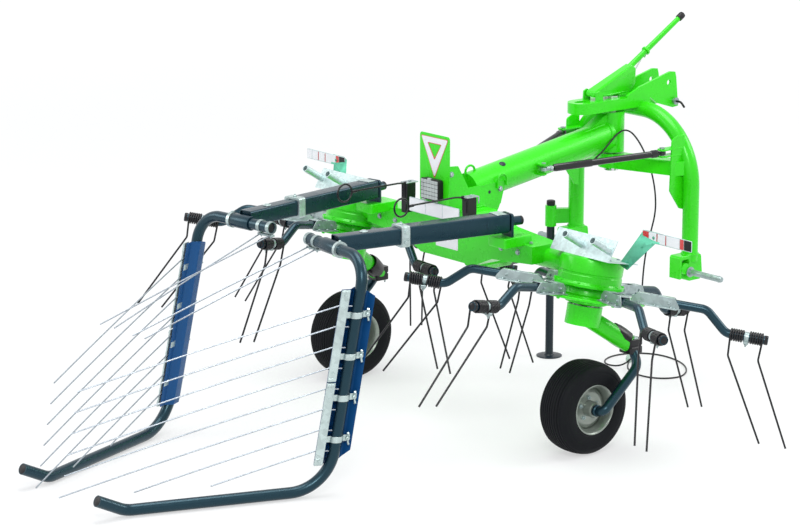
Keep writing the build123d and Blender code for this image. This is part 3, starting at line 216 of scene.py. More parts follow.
# ------------------------------------------------------------------ drafting a piece
class Draft:
    """Collects the surface of one piece."""

    def __init__(self):
        self.points = []
        self.faces = []

    def bands(self, starts, count):
        """Joins rings of points, each with its first point's number, into a closed band."""
        for low, high in zip(starts, starts[1:]):
            for n in range(count):
                m = (n + 1) % count
                self.faces.append((low + n, low + m, high + m, high + n))

    def tube(self, line, radius, sides=16, sizes=None, mouth=0, wall=0.004):
        """A round bar along a line of points, perhaps with an open mouth at its far end."""
        line = [Vector(p) for p in line]
        heading = (line[1] - line[0]).normalized()
        side = heading.orthogonal().normalized()
        rings = []
        for number, point in enumerate(line):
            ahead = line[min(number + 1, len(line) - 1)] - point
            behind = point - line[max(number - 1, 0)]
            new = (ahead.normalized() + behind.normalized()).normalized()
            side = heading.rotation_difference(new) @ side
            side = (side - new * side.dot(new)).normalized()
            heading = new
            size = radius * (sizes[number] if sizes else 1)
            rings.append(around(point, side * size, heading.cross(side) * size, sides)[:-1])
        if mouth:
            size = radius - wall
            for depth in (0, mouth):
                centre = line[-1] - heading * depth
                rings.append(around(centre, side * size, heading.cross(side) * size, sides)[:-1])
        base = len(self.points)
        for ring in rings:
            self.points += ring
        self.bands(range(base, len(self.points), sides), sides)
        self.faces.append(tuple(reversed(range(base, base + sides))))
        self.faces.append(tuple(range(len(self.points) - sides, len(self.points))))

    def lathe(self, profile, grid, sides=40):
        """Turns (radius, height) points round the grid's Z. A radius of zero closes the end."""
        spans = []
        for radius, height in profile:
            ring = circle(radius, sides)[:sides if radius else 1]
            spans.append((len(self.points), len(ring)))
            self.points += [grid @ Vector((*point, height)) for point in ring]
        for (low, low_count), (high, high_count) in zip(spans, spans[1:]):
            for n in range(sides):
                m = (n + 1) % sides
                if low_count > 1 and high_count > 1:
                    self.faces.append((low + n, low + m, high + m, high + n))
                elif high_count > 1:
                    self.faces.append((low, high + m, high + n))
                elif low_count > 1:
                    self.faces.append((low + n, low + m, high))

    def turned(self, profile, grid, sides=40):
        """A lathe skin closed from its last point back to its first."""
        self.lathe([*profile, profile[0]], grid, sides)

    def sleeve(self, inner, outer, low, high, grid, sides=40):
        """A plain bush between two heights, or a disc if its inner radius is zero."""
        self.turned([(inner, low), (outer, low), (outer, high), (inner, high)], grid, sides)

    def plate(self, outline, low, high, grid=Matrix(), holes=(), edge=0.0008):
        """A flat plate or block between two heights, with its edges broken."""
        loops = []
        for number, loop in enumerate([outline, *holes]):
            loop = [Vector(p).to_2d() for p in loop]
            area = sum(a.x * b.y - b.x * a.y for a, b in zip([loop[-1], *loop], loop))
            loops.append(loop if (area > 0) == (number == 0) else loop[::-1])
        edge = min(edge, abs(high - low) * 0.3)
        levels = []
        for height, amount in ((low, edge), (low + edge, 0), (high - edge, 0), (high, edge)):
            levels.append([])
            for loop in loops:
                levels[-1].append(len(self.points))
                moved = inset(loop, amount) if amount else loop
                self.points += [grid @ Vector((p.x, p.y, height)) for p in moved]
        for lower, upper in zip(levels, levels[1:]):
            for loop, *starts in zip(loops, lower, upper):
                self.bands(starts, len(loop))
        if len(loops) == 1 and len(outline) <= 4:
            cap = [range(len(outline))]
        else:
            cap = tessellate_polygon([[p.to_3d() for p in loop] for loop in loops])
        for starts, flip in ((levels[0], True), (levels[-1], False)):
            index = []
            for loop, start in zip(loops, starts):
                index += range(start, start + len(loop))
            for corner in cap:
                face = tuple(index[c] for c in corner)
                self.faces.append(face[::-1] if flip else face)

    def block(self, low, high, grid=Matrix(), edge=0.001):
        """A box between two corners."""
        self.plate(card(low[0], high[0], low[1], high[1]), low[2], high[2], grid, edge=edge)

    def bolt(self, at, axis, size, shank=0.0):
        """A hexagon head on a washer, with the end of its shank if it shows."""
        grid = place(at, axis)
        lift, top = size * 0.16, size * 0.78
        self.sleeve(size * 0.55, size * 1.22, 0, lift, grid, 18)
        self.lathe([
            (0, lift - 0.0002), (size * 0.92, lift), (size * 0.98, lift + size * 0.08),
            (size * 0.98, top - size * 0.12), (size * 0.84, top), (0, top),
        ], grid, 6)
        if shank:
            tip = top + shank
            self.lathe([
                (size * 0.5, top - 0.0005), (size * 0.5, tip), (size * 0.42, tip + 0.001),
                (0, tip + 0.001),
            ], grid, 12)

    def weld(self, line, radius=0.004):
        """A rippled weld bead along a line."""
        line = [Vector(p) for p in line]
        dense = []
        for start, end in zip(line, line[1:]):
            count = max(2, int((end - start).length / (radius * 0.55)))
            dense += [start.lerp(end, n / count) for n in range(count)]
        dense.append(line[-1])
        sizes = [0.86 + 0.16 * abs(sin(n * 1.3)) for n in range(len(dense))]
        self.tube(dense, radius, 8, sizes)

    def add(self, other, grid=Matrix()):
        """Adds another draft, moved by a matrix."""
        base = len(self.points)
        self.points += [grid @ p for p in other.points]
        flip = grid.to_3x3().determinant() < 0
        for face in other.faces:
            moved = tuple(base + n for n in face)
            self.faces.append(moved[::-1] if flip else moved)

    def settle(self, name, body, finish, stands_for=(), smooth=32.0):
        """Makes the object, with its finish, its body and the solids that it stands for."""
        mesh = bpy.data.meshes.new(name)
        mesh.from_pydata(self.points, [], self.faces)
        surface = bmesh.new()
        surface.from_mesh(mesh)
        bmesh.ops.recalc_face_normals(surface, faces=surface.faces)
        surface.to_mesh(mesh)
        surface.free()
        mesh.polygons.foreach_set("use_smooth", [True] * len(mesh.polygons))
        mesh.set_sharp_from_angle(angle=radians(smooth))
        mesh.update()
        piece = bpy.data.objects.new(name, mesh)
        bpy.context.scene.collection.objects.link(piece)
        mesh.materials.append(finish_named(finish))
        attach(piece, body)
        if stands_for:
            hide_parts(*stands_for)
        return piece

    def settle_pair(self, name, body, finish, *stands_for):
        """Settles a right hand draft and its mirror image. A body or node may hold {side}."""
        for side, sign in SIDES.items():
            copy = Draft()
            copy.add(self, Matrix() if sign > 0 else MIRROR)
            solids = [node.format(side=side) for node in stands_for]
            copy.settle(f"{side}_{name}", body.format(side=side), finish, solids)

    def settle_both(self, name, finish, *stands_for):
        """Settles a right hand draft and its mirror image as one piece on the frame."""
        copy = Draft()
        copy.add(self)
        copy.add(self, MIRROR)
        copy.settle(name, "frame", finish, stands_for)


def dress(finish, *names):
    """Gives solids that keep their own shape their finish."""
    for name in names:
        materials = NODES[name].data.materials
        materials.clear()
        materials.append(finish_named(finish))


# ------------------------------------------------------------------ finishes
def finish_named(name):
    """The material of that name, made on its first use."""
    known = bpy.data.materials.get(name)
    if known:
        return known
    _, maker, options = FINISHES[name]
    return maker(name, **options)


def feed(tree, node, values):
    """Sets a node's inputs: each is linked to a socket, or holds a constant."""
    for key, value in values.items():
        if isinstance(value, bpy.types.NodeSocket):
            tree.links.new(value, node.inputs[key])
        else:
            node.inputs[key].default_value = value


def add_node(tree, kind, values, **settings):
    """A new node with its settings and inputs."""
    node = tree.nodes.new(kind)
    for key, value in settings.items():
        setattr(node, key, value)
    feed(tree, node, values)
    return node


def shader_of(name):
    """A new material with its tree, its shader and its object coordinates."""
    material = bpy.data.materials.new(name)
    material.use_nodes = True
    tree = material.node_tree
    where = add_node(tree, "ShaderNodeTexCoord", {})
    return material, tree, tree.nodes["Principled BSDF"], where.outputs["Object"]


def noise(tree, where, scale, detail=3.0, rough=0.5):
    """A noise texture's value."""
    values = {"Scale": scale, "Detail": detail, "Roughness": rough, "Vector": where}
    return add_node(tree, "ShaderNodeTexNoise", values).outputs["Fac"]


def spread(tree, value, low, high, from_low=0.3, from_high=0.7):
    """A value mapped to a range."""
    return add_node(tree, "ShaderNodeMapRange", {
        "From Min": from_low, "From Max": from_high, "To Min": low, "To Max": high, "Value": value,
    }).outputs["Result"]


MIX_FIRST, MIX_SECOND, MIX_RESULT = 6, 7, 2


def blend_colours(tree, value, first, second):
    """A colour between two, each a socket or a constant."""
    first, second = (
        colour if isinstance(colour, bpy.types.NodeSocket) else (*colour, 1)
        for colour in (first, second)
    )
    node = add_node(tree, "ShaderNodeMix", {}, data_type="RGBA")
    feed(tree, node, {0: value, MIX_FIRST: first, MIX_SECOND: second})
    return node.outputs[MIX_RESULT]


def dimple(tree, height, strength, distance):
    """A bumped normal from a height."""
    values = {"Strength": strength, "Distance": distance, "Height": height}
    return add_node(tree, "ShaderNodeBump", values).outputs["Normal"]


def shade(colour, factor):
    """A colour made lighter or darker."""
    return tuple(min(1.0, c * factor) for c in colour)


def sprayed_paint(name, colour=None, setting=None, roughness=(0.24, 0.34), coat=0.2, dust=0.02,
                  metal=0.0, sheen=None):
    """Sprayed gloss paint: slight mottling, orange peel, dust and paler edges."""
    if setting:
        colour = tuple(getattr(bpy.context.scene.rake_colours, setting))
    material, tree, shader, where = shader_of(name)
    cloudy = spread(tree, noise(tree, where, 3.5, 4.0), 0, 1)
    body = blend_colours(tree, cloudy, shade(colour, 0.93), shade(colour, 1.05))
    dirty = spread(tree, noise(tree, where, 160.0, 4.0, 0.65), 0.0, dust, 0.5, 0.75)
    body = blend_colours(tree, dirty, body, (0.36, 0.35, 0.29))
    outer = add_node(tree, "ShaderNodeNewGeometry", {}).outputs["Pointiness"]
    worn = spread(tree, spread(tree, outer, 0.0, 1.0, 0.52, 0.60), 0.0, 0.35, 0.0, 1.0)
    edge = blend_colours(tree, worn, body, shade(colour, 1.5))
    matt = spread(tree, noise(tree, where, 22.0), *roughness)
    feed(tree, shader, {
        "Base Color": edge, "Roughness": matt, "Metallic": metal,
        "Specular IOR Level": 0.7 if sheen else 0.35, "Specular Tint": (*(sheen or (1, 1, 1)), 1),
        "Coat Weight": coat, "Coat Roughness": 0.12,
        "Normal": dimple(tree, noise(tree, where, 420.0, 2.0), 0.12, 0.0004),
    })
    return material


def plated_zinc(name, colour=(0.36, 0.44, 0.44), roughness=(0.30, 0.46), spangle=60.0):
    """Zinc plate: a metal whose grain changes from crystal to crystal."""
    material, tree, shader, where = shader_of(name)
    grain = add_node(tree, "ShaderNodeTexVoronoi", {"Scale": spangle, "Vector": where})
    cell = add_node(tree, "ShaderNodeSeparateColor", {"Color": grain.outputs["Color"]}).outputs
    tone = blend_colours(tree, cell["Red"], shade(colour, 0.86), shade(colour, 1.1))
    stain = spread(tree, noise(tree, where, 9.0, 4.0), 0.0, 0.35, 0.5, 0.75)
    tone = blend_colours(tree, stain, tone, shade(colour, 0.72))
    feed(tree, shader, {
        "Base Color": tone, "Metallic": 0.72,
        "Roughness": spread(tree, cell["Green"], *roughness, 0.0, 1.0),
        "Normal": dimple(tree, noise(tree, where, 300.0, 3.0), 0.15, 0.0004),
    })
    return material


def polished_steel(name, colour=(0.62, 0.63, 0.65), roughness=(0.12, 0.2)):
    """Turned or drawn bare steel with fine lines."""
    material, tree, shader, where = shader_of(name)
    brushed = add_node(tree, "ShaderNodeMapping", {"Scale": (6.0, 6.0, 240.0), "Vector": where})
    lines = noise(tree, brushed.outputs["Vector"], 4.0, 3.0)
    tone = blend_colours(tree, spread(tree, lines, 0, 1), shade(colour, 0.8), shade(colour, 1.08))
    feed(tree, shader, {
        "Base Color": tone, "Metallic": 1.0, "Roughness": spread(tree, lines, *roughness),
        "Normal": dimple(tree, lines, 0.05, 0.0002),
    })
    return material


def moulded_plastic(name, colour=(0.008, 0.008, 0.010), roughness=(0.38, 0.52)):
    """Moulded plastic with a fine spark finish."""
    material, tree, shader, where = shader_of(name)
    cloudy = noise(tree, where, 14.0)
    tone = blend_colours(tree, spread(tree, cloudy, 0, 1), shade(colour, 0.85), shade(colour, 1.2))
    feed(tree, shader, {
        "Base Color": tone, "Roughness": spread(tree, cloudy, *roughness),
        "Specular IOR Level": 0.35,
        "Normal": dimple(tree, noise(tree, where, 500.0, 2.0), 0.2, 0.0003),
    })
    return material


def tyre_rubber(name, colour=(0.005, 0.006, 0.008)):
    """Tyre rubber, dustier where it is rough."""
    material, tree, shader, where = shader_of(name)
    cloudy = noise(tree, where, 18.0, 5.0, 0.6)
    dusty = spread(tree, cloudy, 0, 1, 0.4, 0.75)
    feed(tree, shader, {
        "Base Color": blend_colours(tree, dusty, colour, (0.009, 0.010, 0.011)),
        "Roughness": spread(tree, cloudy, 0.5, 0.72), "Specular IOR Level": 0.12,
        "Normal": dimple(tree, noise(tree, where, 260.0, 3.0), 0.22, 0.0005),
    })
    return material


def reflective_film(name, colour):
    """Retroreflective film: a fine honeycomb under a clear face."""
    material, tree, shader, where = shader_of(name)
    comb = add_node(
        tree, "ShaderNodeTexVoronoi", {"Scale": 180.0, "Randomness": 0.15, "Vector": where},
        feature="DISTANCE_TO_EDGE",
    )
    line = spread(tree, comb.outputs["Distance"], 0.0, 1.0, 0.02, 0.10)
    feed(tree, shader, {
        "Base Color": blend_colours(tree, line, shade(colour, 0.82), colour),
        "Roughness": spread(tree, line, 0.42, 0.26, 0.0, 1.0),
        "Coat Weight": 0.6, "Coat Roughness": 0.08,
    })
    return material


GREEN, BLUE, BOARD_BLUE = "Green gloss paint", "Blue satin paint", "Board blue paint"
STAND_BLUE, BLACK, DAMPER_BLACK = "Stand blue paint", "Black spring enamel", "Damper black enamel"
ZINC, BRIGHT_ZINC, GALVANISED = "Zinc plate", "Bright zinc plate", "Galvanised sheet"
WIRE, PASSIVATED = "Galvanised wire", "Passivated sheet"
CHROME, STEEL = "Chromed rod", "Turned steel"
PLASTIC, SHEATH = "Black moulded plastic", "Cable sheath"
GREY, PALE = "Grey moulded plastic", "Pale green plastic"
WHITE_FILM, RED_FILM = "White reflective film", "Red reflective film"
RIM, RUBBER = "Rim paint", "Tyre rubber"
SATIN = {"coat": 0.1, "dust": 0.006}
ENAMEL = {"colour": (0.004, 0.004, 0.006), "roughness": (0.24, 0.36), "coat": 0.1, "dust": 0.004}
FINISHES = {
    GREEN: ("green_paint", sprayed_paint, {"setting": "frame_green", "sheen": (0.42, 1, 0.42)}),
    BLUE: ("blue_paint", sprayed_paint, {
        "setting": "arm_blue", "sheen": (0.34, 0.70, 0.86), **SATIN}),
    BOARD_BLUE: ("blue_paint", sprayed_paint, {
        "setting": "board_blue", "roughness": (0.28, 0.40), "sheen": (0.3, 0.6, 1), **SATIN}),
    STAND_BLUE: ("stand_paint", sprayed_paint, {
        "setting": "arm_blue", "roughness": (0.32, 0.45), **SATIN}),
    BLACK: ("black_paint", sprayed_paint, ENAMEL),
    DAMPER_BLACK: ("black_paint", sprayed_paint, {
        **ENAMEL, "colour": (0.004, 0.005, 0.007), "roughness": (0.18, 0.26), "coat": 0.4}),
    ZINC: ("zinc", plated_zinc, {}),
    BRIGHT_ZINC: ("zinc", plated_zinc, {"colour": (0.50, 0.60, 0.59), "roughness": (0.26, 0.40)}),
    GALVANISED: ("zinc", plated_zinc, {
        "colour": (0.56, 0.68, 0.68), "roughness": (0.42, 0.50), "spangle": 90.0}),
    WIRE: ("zinc", plated_zinc, {
        "colour": (0.34, 0.38, 0.42), "roughness": (0.3, 0.42), "spangle": 120.0}),
    PASSIVATED: ("zinc", plated_zinc, {
        "colour": (0.10, 0.42, 0.28), "roughness": (0.34, 0.46), "spangle": 40.0}),
    CHROME: ("chrome", polished_steel, {"colour": (0.7, 0.71, 0.73), "roughness": (0.08, 0.14)}),
    STEEL: ("bare_steel", polished_steel, {}),
    PLASTIC: ("black_plastic", moulded_plastic, {}),
    SHEATH: ("black_plastic", moulded_plastic, {
        "colour": (0.005, 0.005, 0.006), "roughness": (0.34, 0.46)}),
    GREY: ("grey_plastic", moulded_plastic, {"colour": (0.42, 0.46, 0.45)}),
    PALE: ("grey_plastic", moulded_plastic, {"colour": (0.46, 0.60, 0.52)}),
    WHITE_FILM: ("sign_face", reflective_film, {"colour": (0.82, 0.83, 0.86)}),
    RED_FILM: ("sign_face", reflective_film, {"colour": (0.62, 0.03, 0.03)}),
    RIM: ("rim_paint", sprayed_paint, {
        "setting": "rim_grey", "roughness": (0.28, 0.4), "dust": 0.04, "metal": 0.65}),
    RUBBER: ("tyre", tyre_rubber, {}),
}


# ------------------------------------------------------------------ places on the machine
def rotor_grid():
    """The right rotor's frame: Z along its axis, zero in the plane of the coils."""
    lean, rise = sin(ROTOR_TILT), cos(ROTOR_TILT)
    return axes((ROTOR_X, AXLE_Y, COIL_PLANE_Z), RIGHT, (0, rise, -lean), (0, lean, rise))


def rotor_ring(shape, side):
    """Six copies of one arm's draft round one rotor."""
    ring = Draft()
    pitch = 2 * pi / ARM_COUNT
    phase = RIGHT_PHASE if side == "right" else RIGHT_PHASE - pitch / 2
    grid = rotor_grid() if side == "right" else MIRROR @ rotor_grid()
    for number in range(ARM_COUNT):
        ring.add(shape, grid @ Matrix.Rotation(phase + number * pitch, 4, "Z"))
    return ring


def bolt_circle(grid, radius, height, count, start):
    """Places for bolts round a grid's Z, the first at a share of the pitch."""
    first = start * 2 * pi / count
    ring = around((0, 0, height), RIGHT * radius, AHEAD * radius, count, start=first)
    return [grid @ point for point in ring[:-1]]


TOE_AHEAD = Vector((sin(BOARD_TOE), cos(BOARD_TOE), 0))
OUTBOARD = Vector((cos(BOARD_TOE), -sin(BOARD_TOE), 0))
DROP = (TUBE_HEEL - TUBE_SHOULDER) / (TUBE_SHOULDER.z - TUBE_HEEL.z)
TOP_RUN = (TUBE_SHOULDER - TUBE_TOP).normalized()
DROP_GRID = axes(TUBE_SHOULDER, TOE_AHEAD, OUTBOARD, DROP)


def at_drop(below, ahead, out):
    """A point beside the guard tube's drop, at a depth below its shoulder."""
    return TUBE_SHOULDER + DROP * below + TOE_AHEAD * ahead + OUTBOARD * out


def carrier_grid():
    """The right carrier beam's frame: X outwards, Y up, Z rearwards along the beam."""
    lean, run = sin(FORMER_TOE), cos(FORMER_TOE)
    return axes(FORMER_FRONT, (run, -lean, 0), UP, (-lean, -run, 0))


def boom_z(y):
    """Height of the boom's centre line at a station."""
    return BOOM_REAR[1] + (y - BOOM_REAR[0]) * tan(BOOM_SLOPE)


# ------------------------------------------------------------------ settings
LENGTH = {"subtype": "DISTANCE", "unit": "LENGTH"}
COLOUR = {"subtype": "COLOR", "min": 0, "max": 1}


class RakeSizes(bpy.types.PropertyGroup):
    """Sizes of the surface detail."""

    coil_turns: bpy.props.FloatProperty(
        name="Coil turns", description="Turns in each tine coil",
        default=5.5, min=1.5, max=6.5, step=100)
    tine_wire: bpy.props.FloatProperty(
        name="Tine wire", description="Diameter of the tines' spring wire",
        default=0.009, **LENGTH)
    tread_ribs: bpy.props.IntProperty(
        name="Tread ribs", description="Ribs round each tyre", default=9, min=3, max=15)
    tread_depth: bpy.props.FloatProperty(
        name="Tread depth", description="Depth of the grooves between the ribs",
        default=0.0045, **LENGTH)
    weld_bead: bpy.props.FloatProperty(
        name="Weld bead", description="Radius of the weld beads", default=0.004, **LENGTH)
    frame_bolt: bpy.props.FloatProperty(
        name="Frame bolts", description="Half the width of a frame bolt's head",
        default=0.0105, **LENGTH)
    small_bolt: bpy.props.FloatProperty(
        name="Small bolts", description="Half the width of a small bolt's head",
        default=0.0070, **LENGTH)
    cable_size: bpy.props.FloatProperty(
        name="Cable", description="Diameter of the lighting cable", default=0.008, **LENGTH)


class RakeColours(bpy.types.PropertyGroup):
    """Colours of the painted pieces."""

    frame_green: bpy.props.FloatVectorProperty(
        name="Frame", description="Paint on the frame and headstock",
        default=(0.030, 0.60, 0.004), **COLOUR)
    arm_blue: bpy.props.FloatVectorProperty(
        name="Arms", description="Paint on the arms, beams and tubes",
        default=(0.0018, 0.0114, 0.0204), **COLOUR)
    board_blue: bpy.props.FloatVectorProperty(
        name="Boards", description="Paint on the swath boards",
        default=(0.004, 0.052, 0.17), **COLOUR)
    rim_grey: bpy.props.FloatVectorProperty(
        name="Rims", description="Paint on the wheel rims",
        default=(0.28, 0.315, 0.28), **COLOUR)
    floor: bpy.props.FloatVectorProperty(
        name="Floor", description="Colour of the floor", default=(0.90, 0.90, 0.90), **COLOUR)


# ------------------------------------------------------------------ stage
FAR_GLOW = {"From Min": 3.0, "From Max": 14.0, "To Min": 1.0, "To Max": 1.45}
FLOOR_HALF = 30.0
GLOW_SHARE = 0.55
LAMPS = (
    ("key_lamp", (6.5, -5.0, 6.5), 3.4, 330), ("fill_lamp", (-5.5, -6.0, 4.5), 4.0, 130),
    ("front_lamp", (4.0, 7.0, 5.5), 4.0, 210), ("top_lamp", (0.0, 0.0, 7.5), 5.0, 300),
)


def mix_shaders(tree, share, first, second, end):
    """Mixes two shaders into an output's surface."""
    mixer = add_node(tree, "ShaderNodeMixShader", {"Fac": share, 1: first, 2: second})
    feed(tree, tree.nodes[end], {"Surface": mixer.outputs[0]})


def lay_floor(scene):
    """A pale floor that the camera sees nearly white, with the shadows kept."""
    mesh = bpy.data.meshes.new("floor")
    outline = card(-FLOOR_HALF, FLOOR_HALF, -FLOOR_HALF, FLOOR_HALF)
    mesh.from_pydata([(x, y, 0) for x, y in outline], [], [(0, 1, 2, 3)])
    ground = bpy.data.objects.new("floor", mesh)
    scene.collection.objects.link(ground)
    material = bpy.data.materials.new("Floor")
    material.use_nodes = True
    tree = material.node_tree
    shader = tree.nodes["Principled BSDF"]
    feed(tree, shader, {
        "Base Color": (*scene.rake_colours.floor, 1), "Roughness": 0.9, "Specular IOR Level": 0.1})
    spot = add_node(tree, "ShaderNodeNewGeometry", {}).outputs["Position"]
    away = add_node(tree, "ShaderNodeVectorMath", {0: spot}, operation="LENGTH").outputs["Value"]
    brighter = add_node(tree, "ShaderNodeMapRange", {**FAR_GLOW, "Value": away})
    glow = add_node(tree, "ShaderNodeEmission", {"Strength": brighter.outputs["Result"]})
    share = add_node(
        tree, "ShaderNodeMath", {0: seen_directly(tree), 1: GLOW_SHARE}, operation="MULTIPLY")
    mix_shaders(tree, share.outputs[0], shader.outputs[0], glow.outputs[0], "Material Output")
    mesh.materials.append(material)


def seen_directly(tree):
    """One for rays from the camera, and for those in reflections and through glass."""
    path = add_node(tree, "ShaderNodeLightPath", {}).outputs
    value = path["Is Camera Ray"]
    for name in ("Is Glossy Ray", "Is Transmission Ray"):
        larger = add_node(tree, "ShaderNodeMath", {0: value, 1: path[name]}, operation="MAXIMUM")
        value = larger.outputs[0]
    return value


def hang_sky(scene):
    """A white surround that lights the machine softly."""
    world = bpy.data.worlds.new("Studio")
    scene.world = world
    world.use_nodes = True
    tree = world.node_tree
    soft = tree.nodes["Background"]
    feed(tree, soft, {"Color": (0.92, 0.95, 1.0, 1), "Strength": 0.62})
    white = add_node(tree, "ShaderNodeBackground", {"Color": (1, 1, 1, 1), "Strength": 1.0})
    share = seen_directly(tree)
    mix_shaders(tree, share, soft.outputs[0], white.outputs[0], "World Output")


def set_camera(scene):
    """A long lens from behind, to the right and a little above."""
    azimuth, elevation = 0.880977, 0.233717
    lens = bpy.data.cameras.new("camera")
    lens.lens = 129.34
    lens.sensor_width = 36.0
    lens.clip_end = 100.0
    eye = bpy.data.objects.new("camera", lens)
    eye.location = (9.4234, -7.7343, 3.6505)
    level = Vector((-sin(azimuth), cos(azimuth), 0)) * cos(elevation)
    eye.rotation_euler = (level - UP * sin(elevation)).to_track_quat("-Z", "Y").to_euler()
    scene.collection.objects.link(eye)
    scene.camera = eye


class RAKE_OT_stage(bpy.types.Operator):
    """Floor, lamps, sky and camera"""

    bl_idname = "rake.stage"
    bl_label = "Stage"

    def execute(self, context):
        scene = context.scene
        scene.view_settings.view_transform = "Standard"
        lay_floor(scene)
        hang_sky(scene)
        for name, spot, size, power in LAMPS:
            lamp = bpy.data.lights.new(name, "AREA")
            lamp.shape = "DISK"
            lamp.size = size
            lamp.energy = power
            holder = bpy.data.objects.new(name, lamp)
            holder.location = spot
            aim = UP * 0.6 - Vector(spot)
            holder.rotation_euler = aim.to_track_quat("-Z", "Y").to_euler()
            scene.collection.objects.link(holder)
        set_camera(scene)
        return {"FINISHED"}


# ------------------------------------------------------------------ lighting cable
CABLE_POINTS = [
    (0.075, 1.100, 1.062), (0.077, 1.157, 1.095), (0.075, 1.211, 1.133), (0.073, 1.256, 1.170),
    (0.072, 1.305, 1.192), (0.070, 1.355, 1.180), (0.066, 1.400, 1.142), (0.060, 1.442, 1.094),
    (0.054, 1.485, 1.030), (0.048, 1.525, 0.950), (0.044, 1.552, 0.858), (0.042, 1.558, 0.765),
    (0.040, 1.530, 0.672), (0.040, 1.498, 0.572), (0.040, 1.484, 0.466), (0.040, 1.480, 0.358),
    (0.034, 1.486, 0.250), (0.020, 1.492, 0.150), (-0.010, 1.482, 0.062), (-0.062, 1.450, 0.012),
    (-0.150, 1.434, 0.006), (-0.222, 1.494, 0.005), (-0.250, 1.590, 0.005), (-0.218, 1.694, 0.005),
    (-0.130, 1.760, 0.005), (-0.014, 1.762, 0.005), (0.096, 1.722, 0.005), (0.190, 1.642, 0.005),
    (0.236, 1.550, 0.005), (0.196, 1.464, 0.005), (0.110, 1.424, 0.005), (0.024, 1.420, 0.014),
    (-0.050, 1.480, 0.014), (-0.100, 1.540, 0.012),
]
PLUG_Z = 0.020


def cable_plug():
    """A seven pole trailer plug: ribbed shell, gland and a keyed nose."""
    end, before = Vector(CABLE_POINTS[-1]), Vector(CABLE_POINTS[-2])
    run = end - before
    run.z = 0
    run.normalize()
    grid = place((end.x, end.y, PLUG_Z), run, UP)
    draft = Draft()
    draft.turned([
        (0.0042, -0.002), (0.0085, -0.002), (0.0095, 0.004), (0.0105, 0.010), (0.0150, 0.014),
        (0.0180, 0.018), (0.0185, 0.024), (0.0172, 0.0255), (0.0185, 0.027), (0.0172, 0.0295),
        (0.0185, 0.031), (0.0172, 0.0335), (0.0185, 0.035), (0.0185, 0.040), (0.0165, 0.041),
        (0.0165, 0.061), (0.0155, 0.062), (0.0140, 0.062), (0.0140, 0.046), (0.0042, 0.046),
    ], grid, 28)
    pole = [(0, 0.045), (0.0022, 0.045), (0.0022, 0.058), (0.0012, 0.060), (0, 0.060)]
    for spot in [*bolt_circle(grid, 0.0088, 0, 6, 0), grid.translation]:
        draft.lathe(pole, place(spot, run, UP), 10)
    draft.block((-0.003, 0.0155, 0.042), (0.003, 0.0185, 0.060), grid, edge=0.0005)
    return draft.settle("cable_plug", "frame", PALE, ["plug"])


class RAKE_OT_lighting_cable(bpy.types.Operator):
    """Cable from the boom down to the floor, with its plug"""

    bl_idname = "rake.lighting_cable"
    bl_label = "Lighting cable"

    def execute(self, context):
        size = context.scene.rake_sizes.cable_size
        curve = bpy.data.curves.new("lighting_cable", "CURVE")
        curve.dimensions = "3D"
        spline = curve.splines.new("NURBS")
        spline.points.add(len(CABLE_POINTS) - 1)
        for point, spot in zip(spline.points, CABLE_POINTS):
            point.co = (*spot, 1)
        spline.order_u = 3
        spline.use_endpoint_u = True
        spline.resolution_u = 8
        curve.bevel_depth = size / 2
        curve.bevel_resolution = 4
        curve.use_fill_caps = True
        curve.materials.append(finish_named(SHEATH))
        cable = bpy.data.objects.new("lighting_cable", curve)
        context.scene.collection.objects.link(cable)
        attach(cable, "frame")
        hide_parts("light_cable")
        shell = cable_plug()
        return {"FINISHED"}


# ------------------------------------------------------------------ rotors
def tine_wire_line(turns, wire):
    """The whole wire of one double tine: leg, coil, bridge under the arm, coil and leg."""
    halves = []
    winding = 0.019 + wire / 2
    steps = int(turns * 16)
    sweep = 2 * pi * turns
    for way in (-1, 1):
        inner = COIL_MID + way * COIL_GAP / 2
        shank = inner + way * (COIL_LENGTH - 0.009)
        end = shank + way * 0.012
        bridge = [
            Vector((inner - way * 0.004, winding, -0.024)),
            Vector((inner - way * 0.001, winding, -0.012)),
        ]
        coil = around((inner, 0, 0), AHEAD * winding, UP * winding, steps, sweep, pi - sweep)
        coil = [point + RIGHT * ((end - inner) * n / steps) for n, point in enumerate(coil)]
        leg = route([
            (end, -winding - 0.0005, -0.006), (shank + way * 0.008, -0.0245, -0.088),
            (shank + 0.1845, -0.0695, -0.428),
        ], [0.024])
        halves.append(bridge + coil + leg)
    return halves[0][::-1] + [Vector((COIL_MID, winding, -0.029))] + halves[1]


def tine_clip(bolt):
    """The band, the block and the bolt that hold one double tine to its arm."""
    clip = Draft()
    mid = COIL_MID
    clip.sleeve(ARM_R, ARM_R + 0.003, 0, 0.018, along_x(mid - 0.009), 24)
    clip.block((mid - 0.011, 0.010, -0.033), (mid + 0.011, 0.032, -0.020), edge=0.0015)
    clip.block((mid - 0.009, -0.010, -0.030), (mid + 0.009, 0.012, -0.0195))
    clip.bolt((mid, 0.021, -0.033), -UP, bolt, 0.006)
    return clip


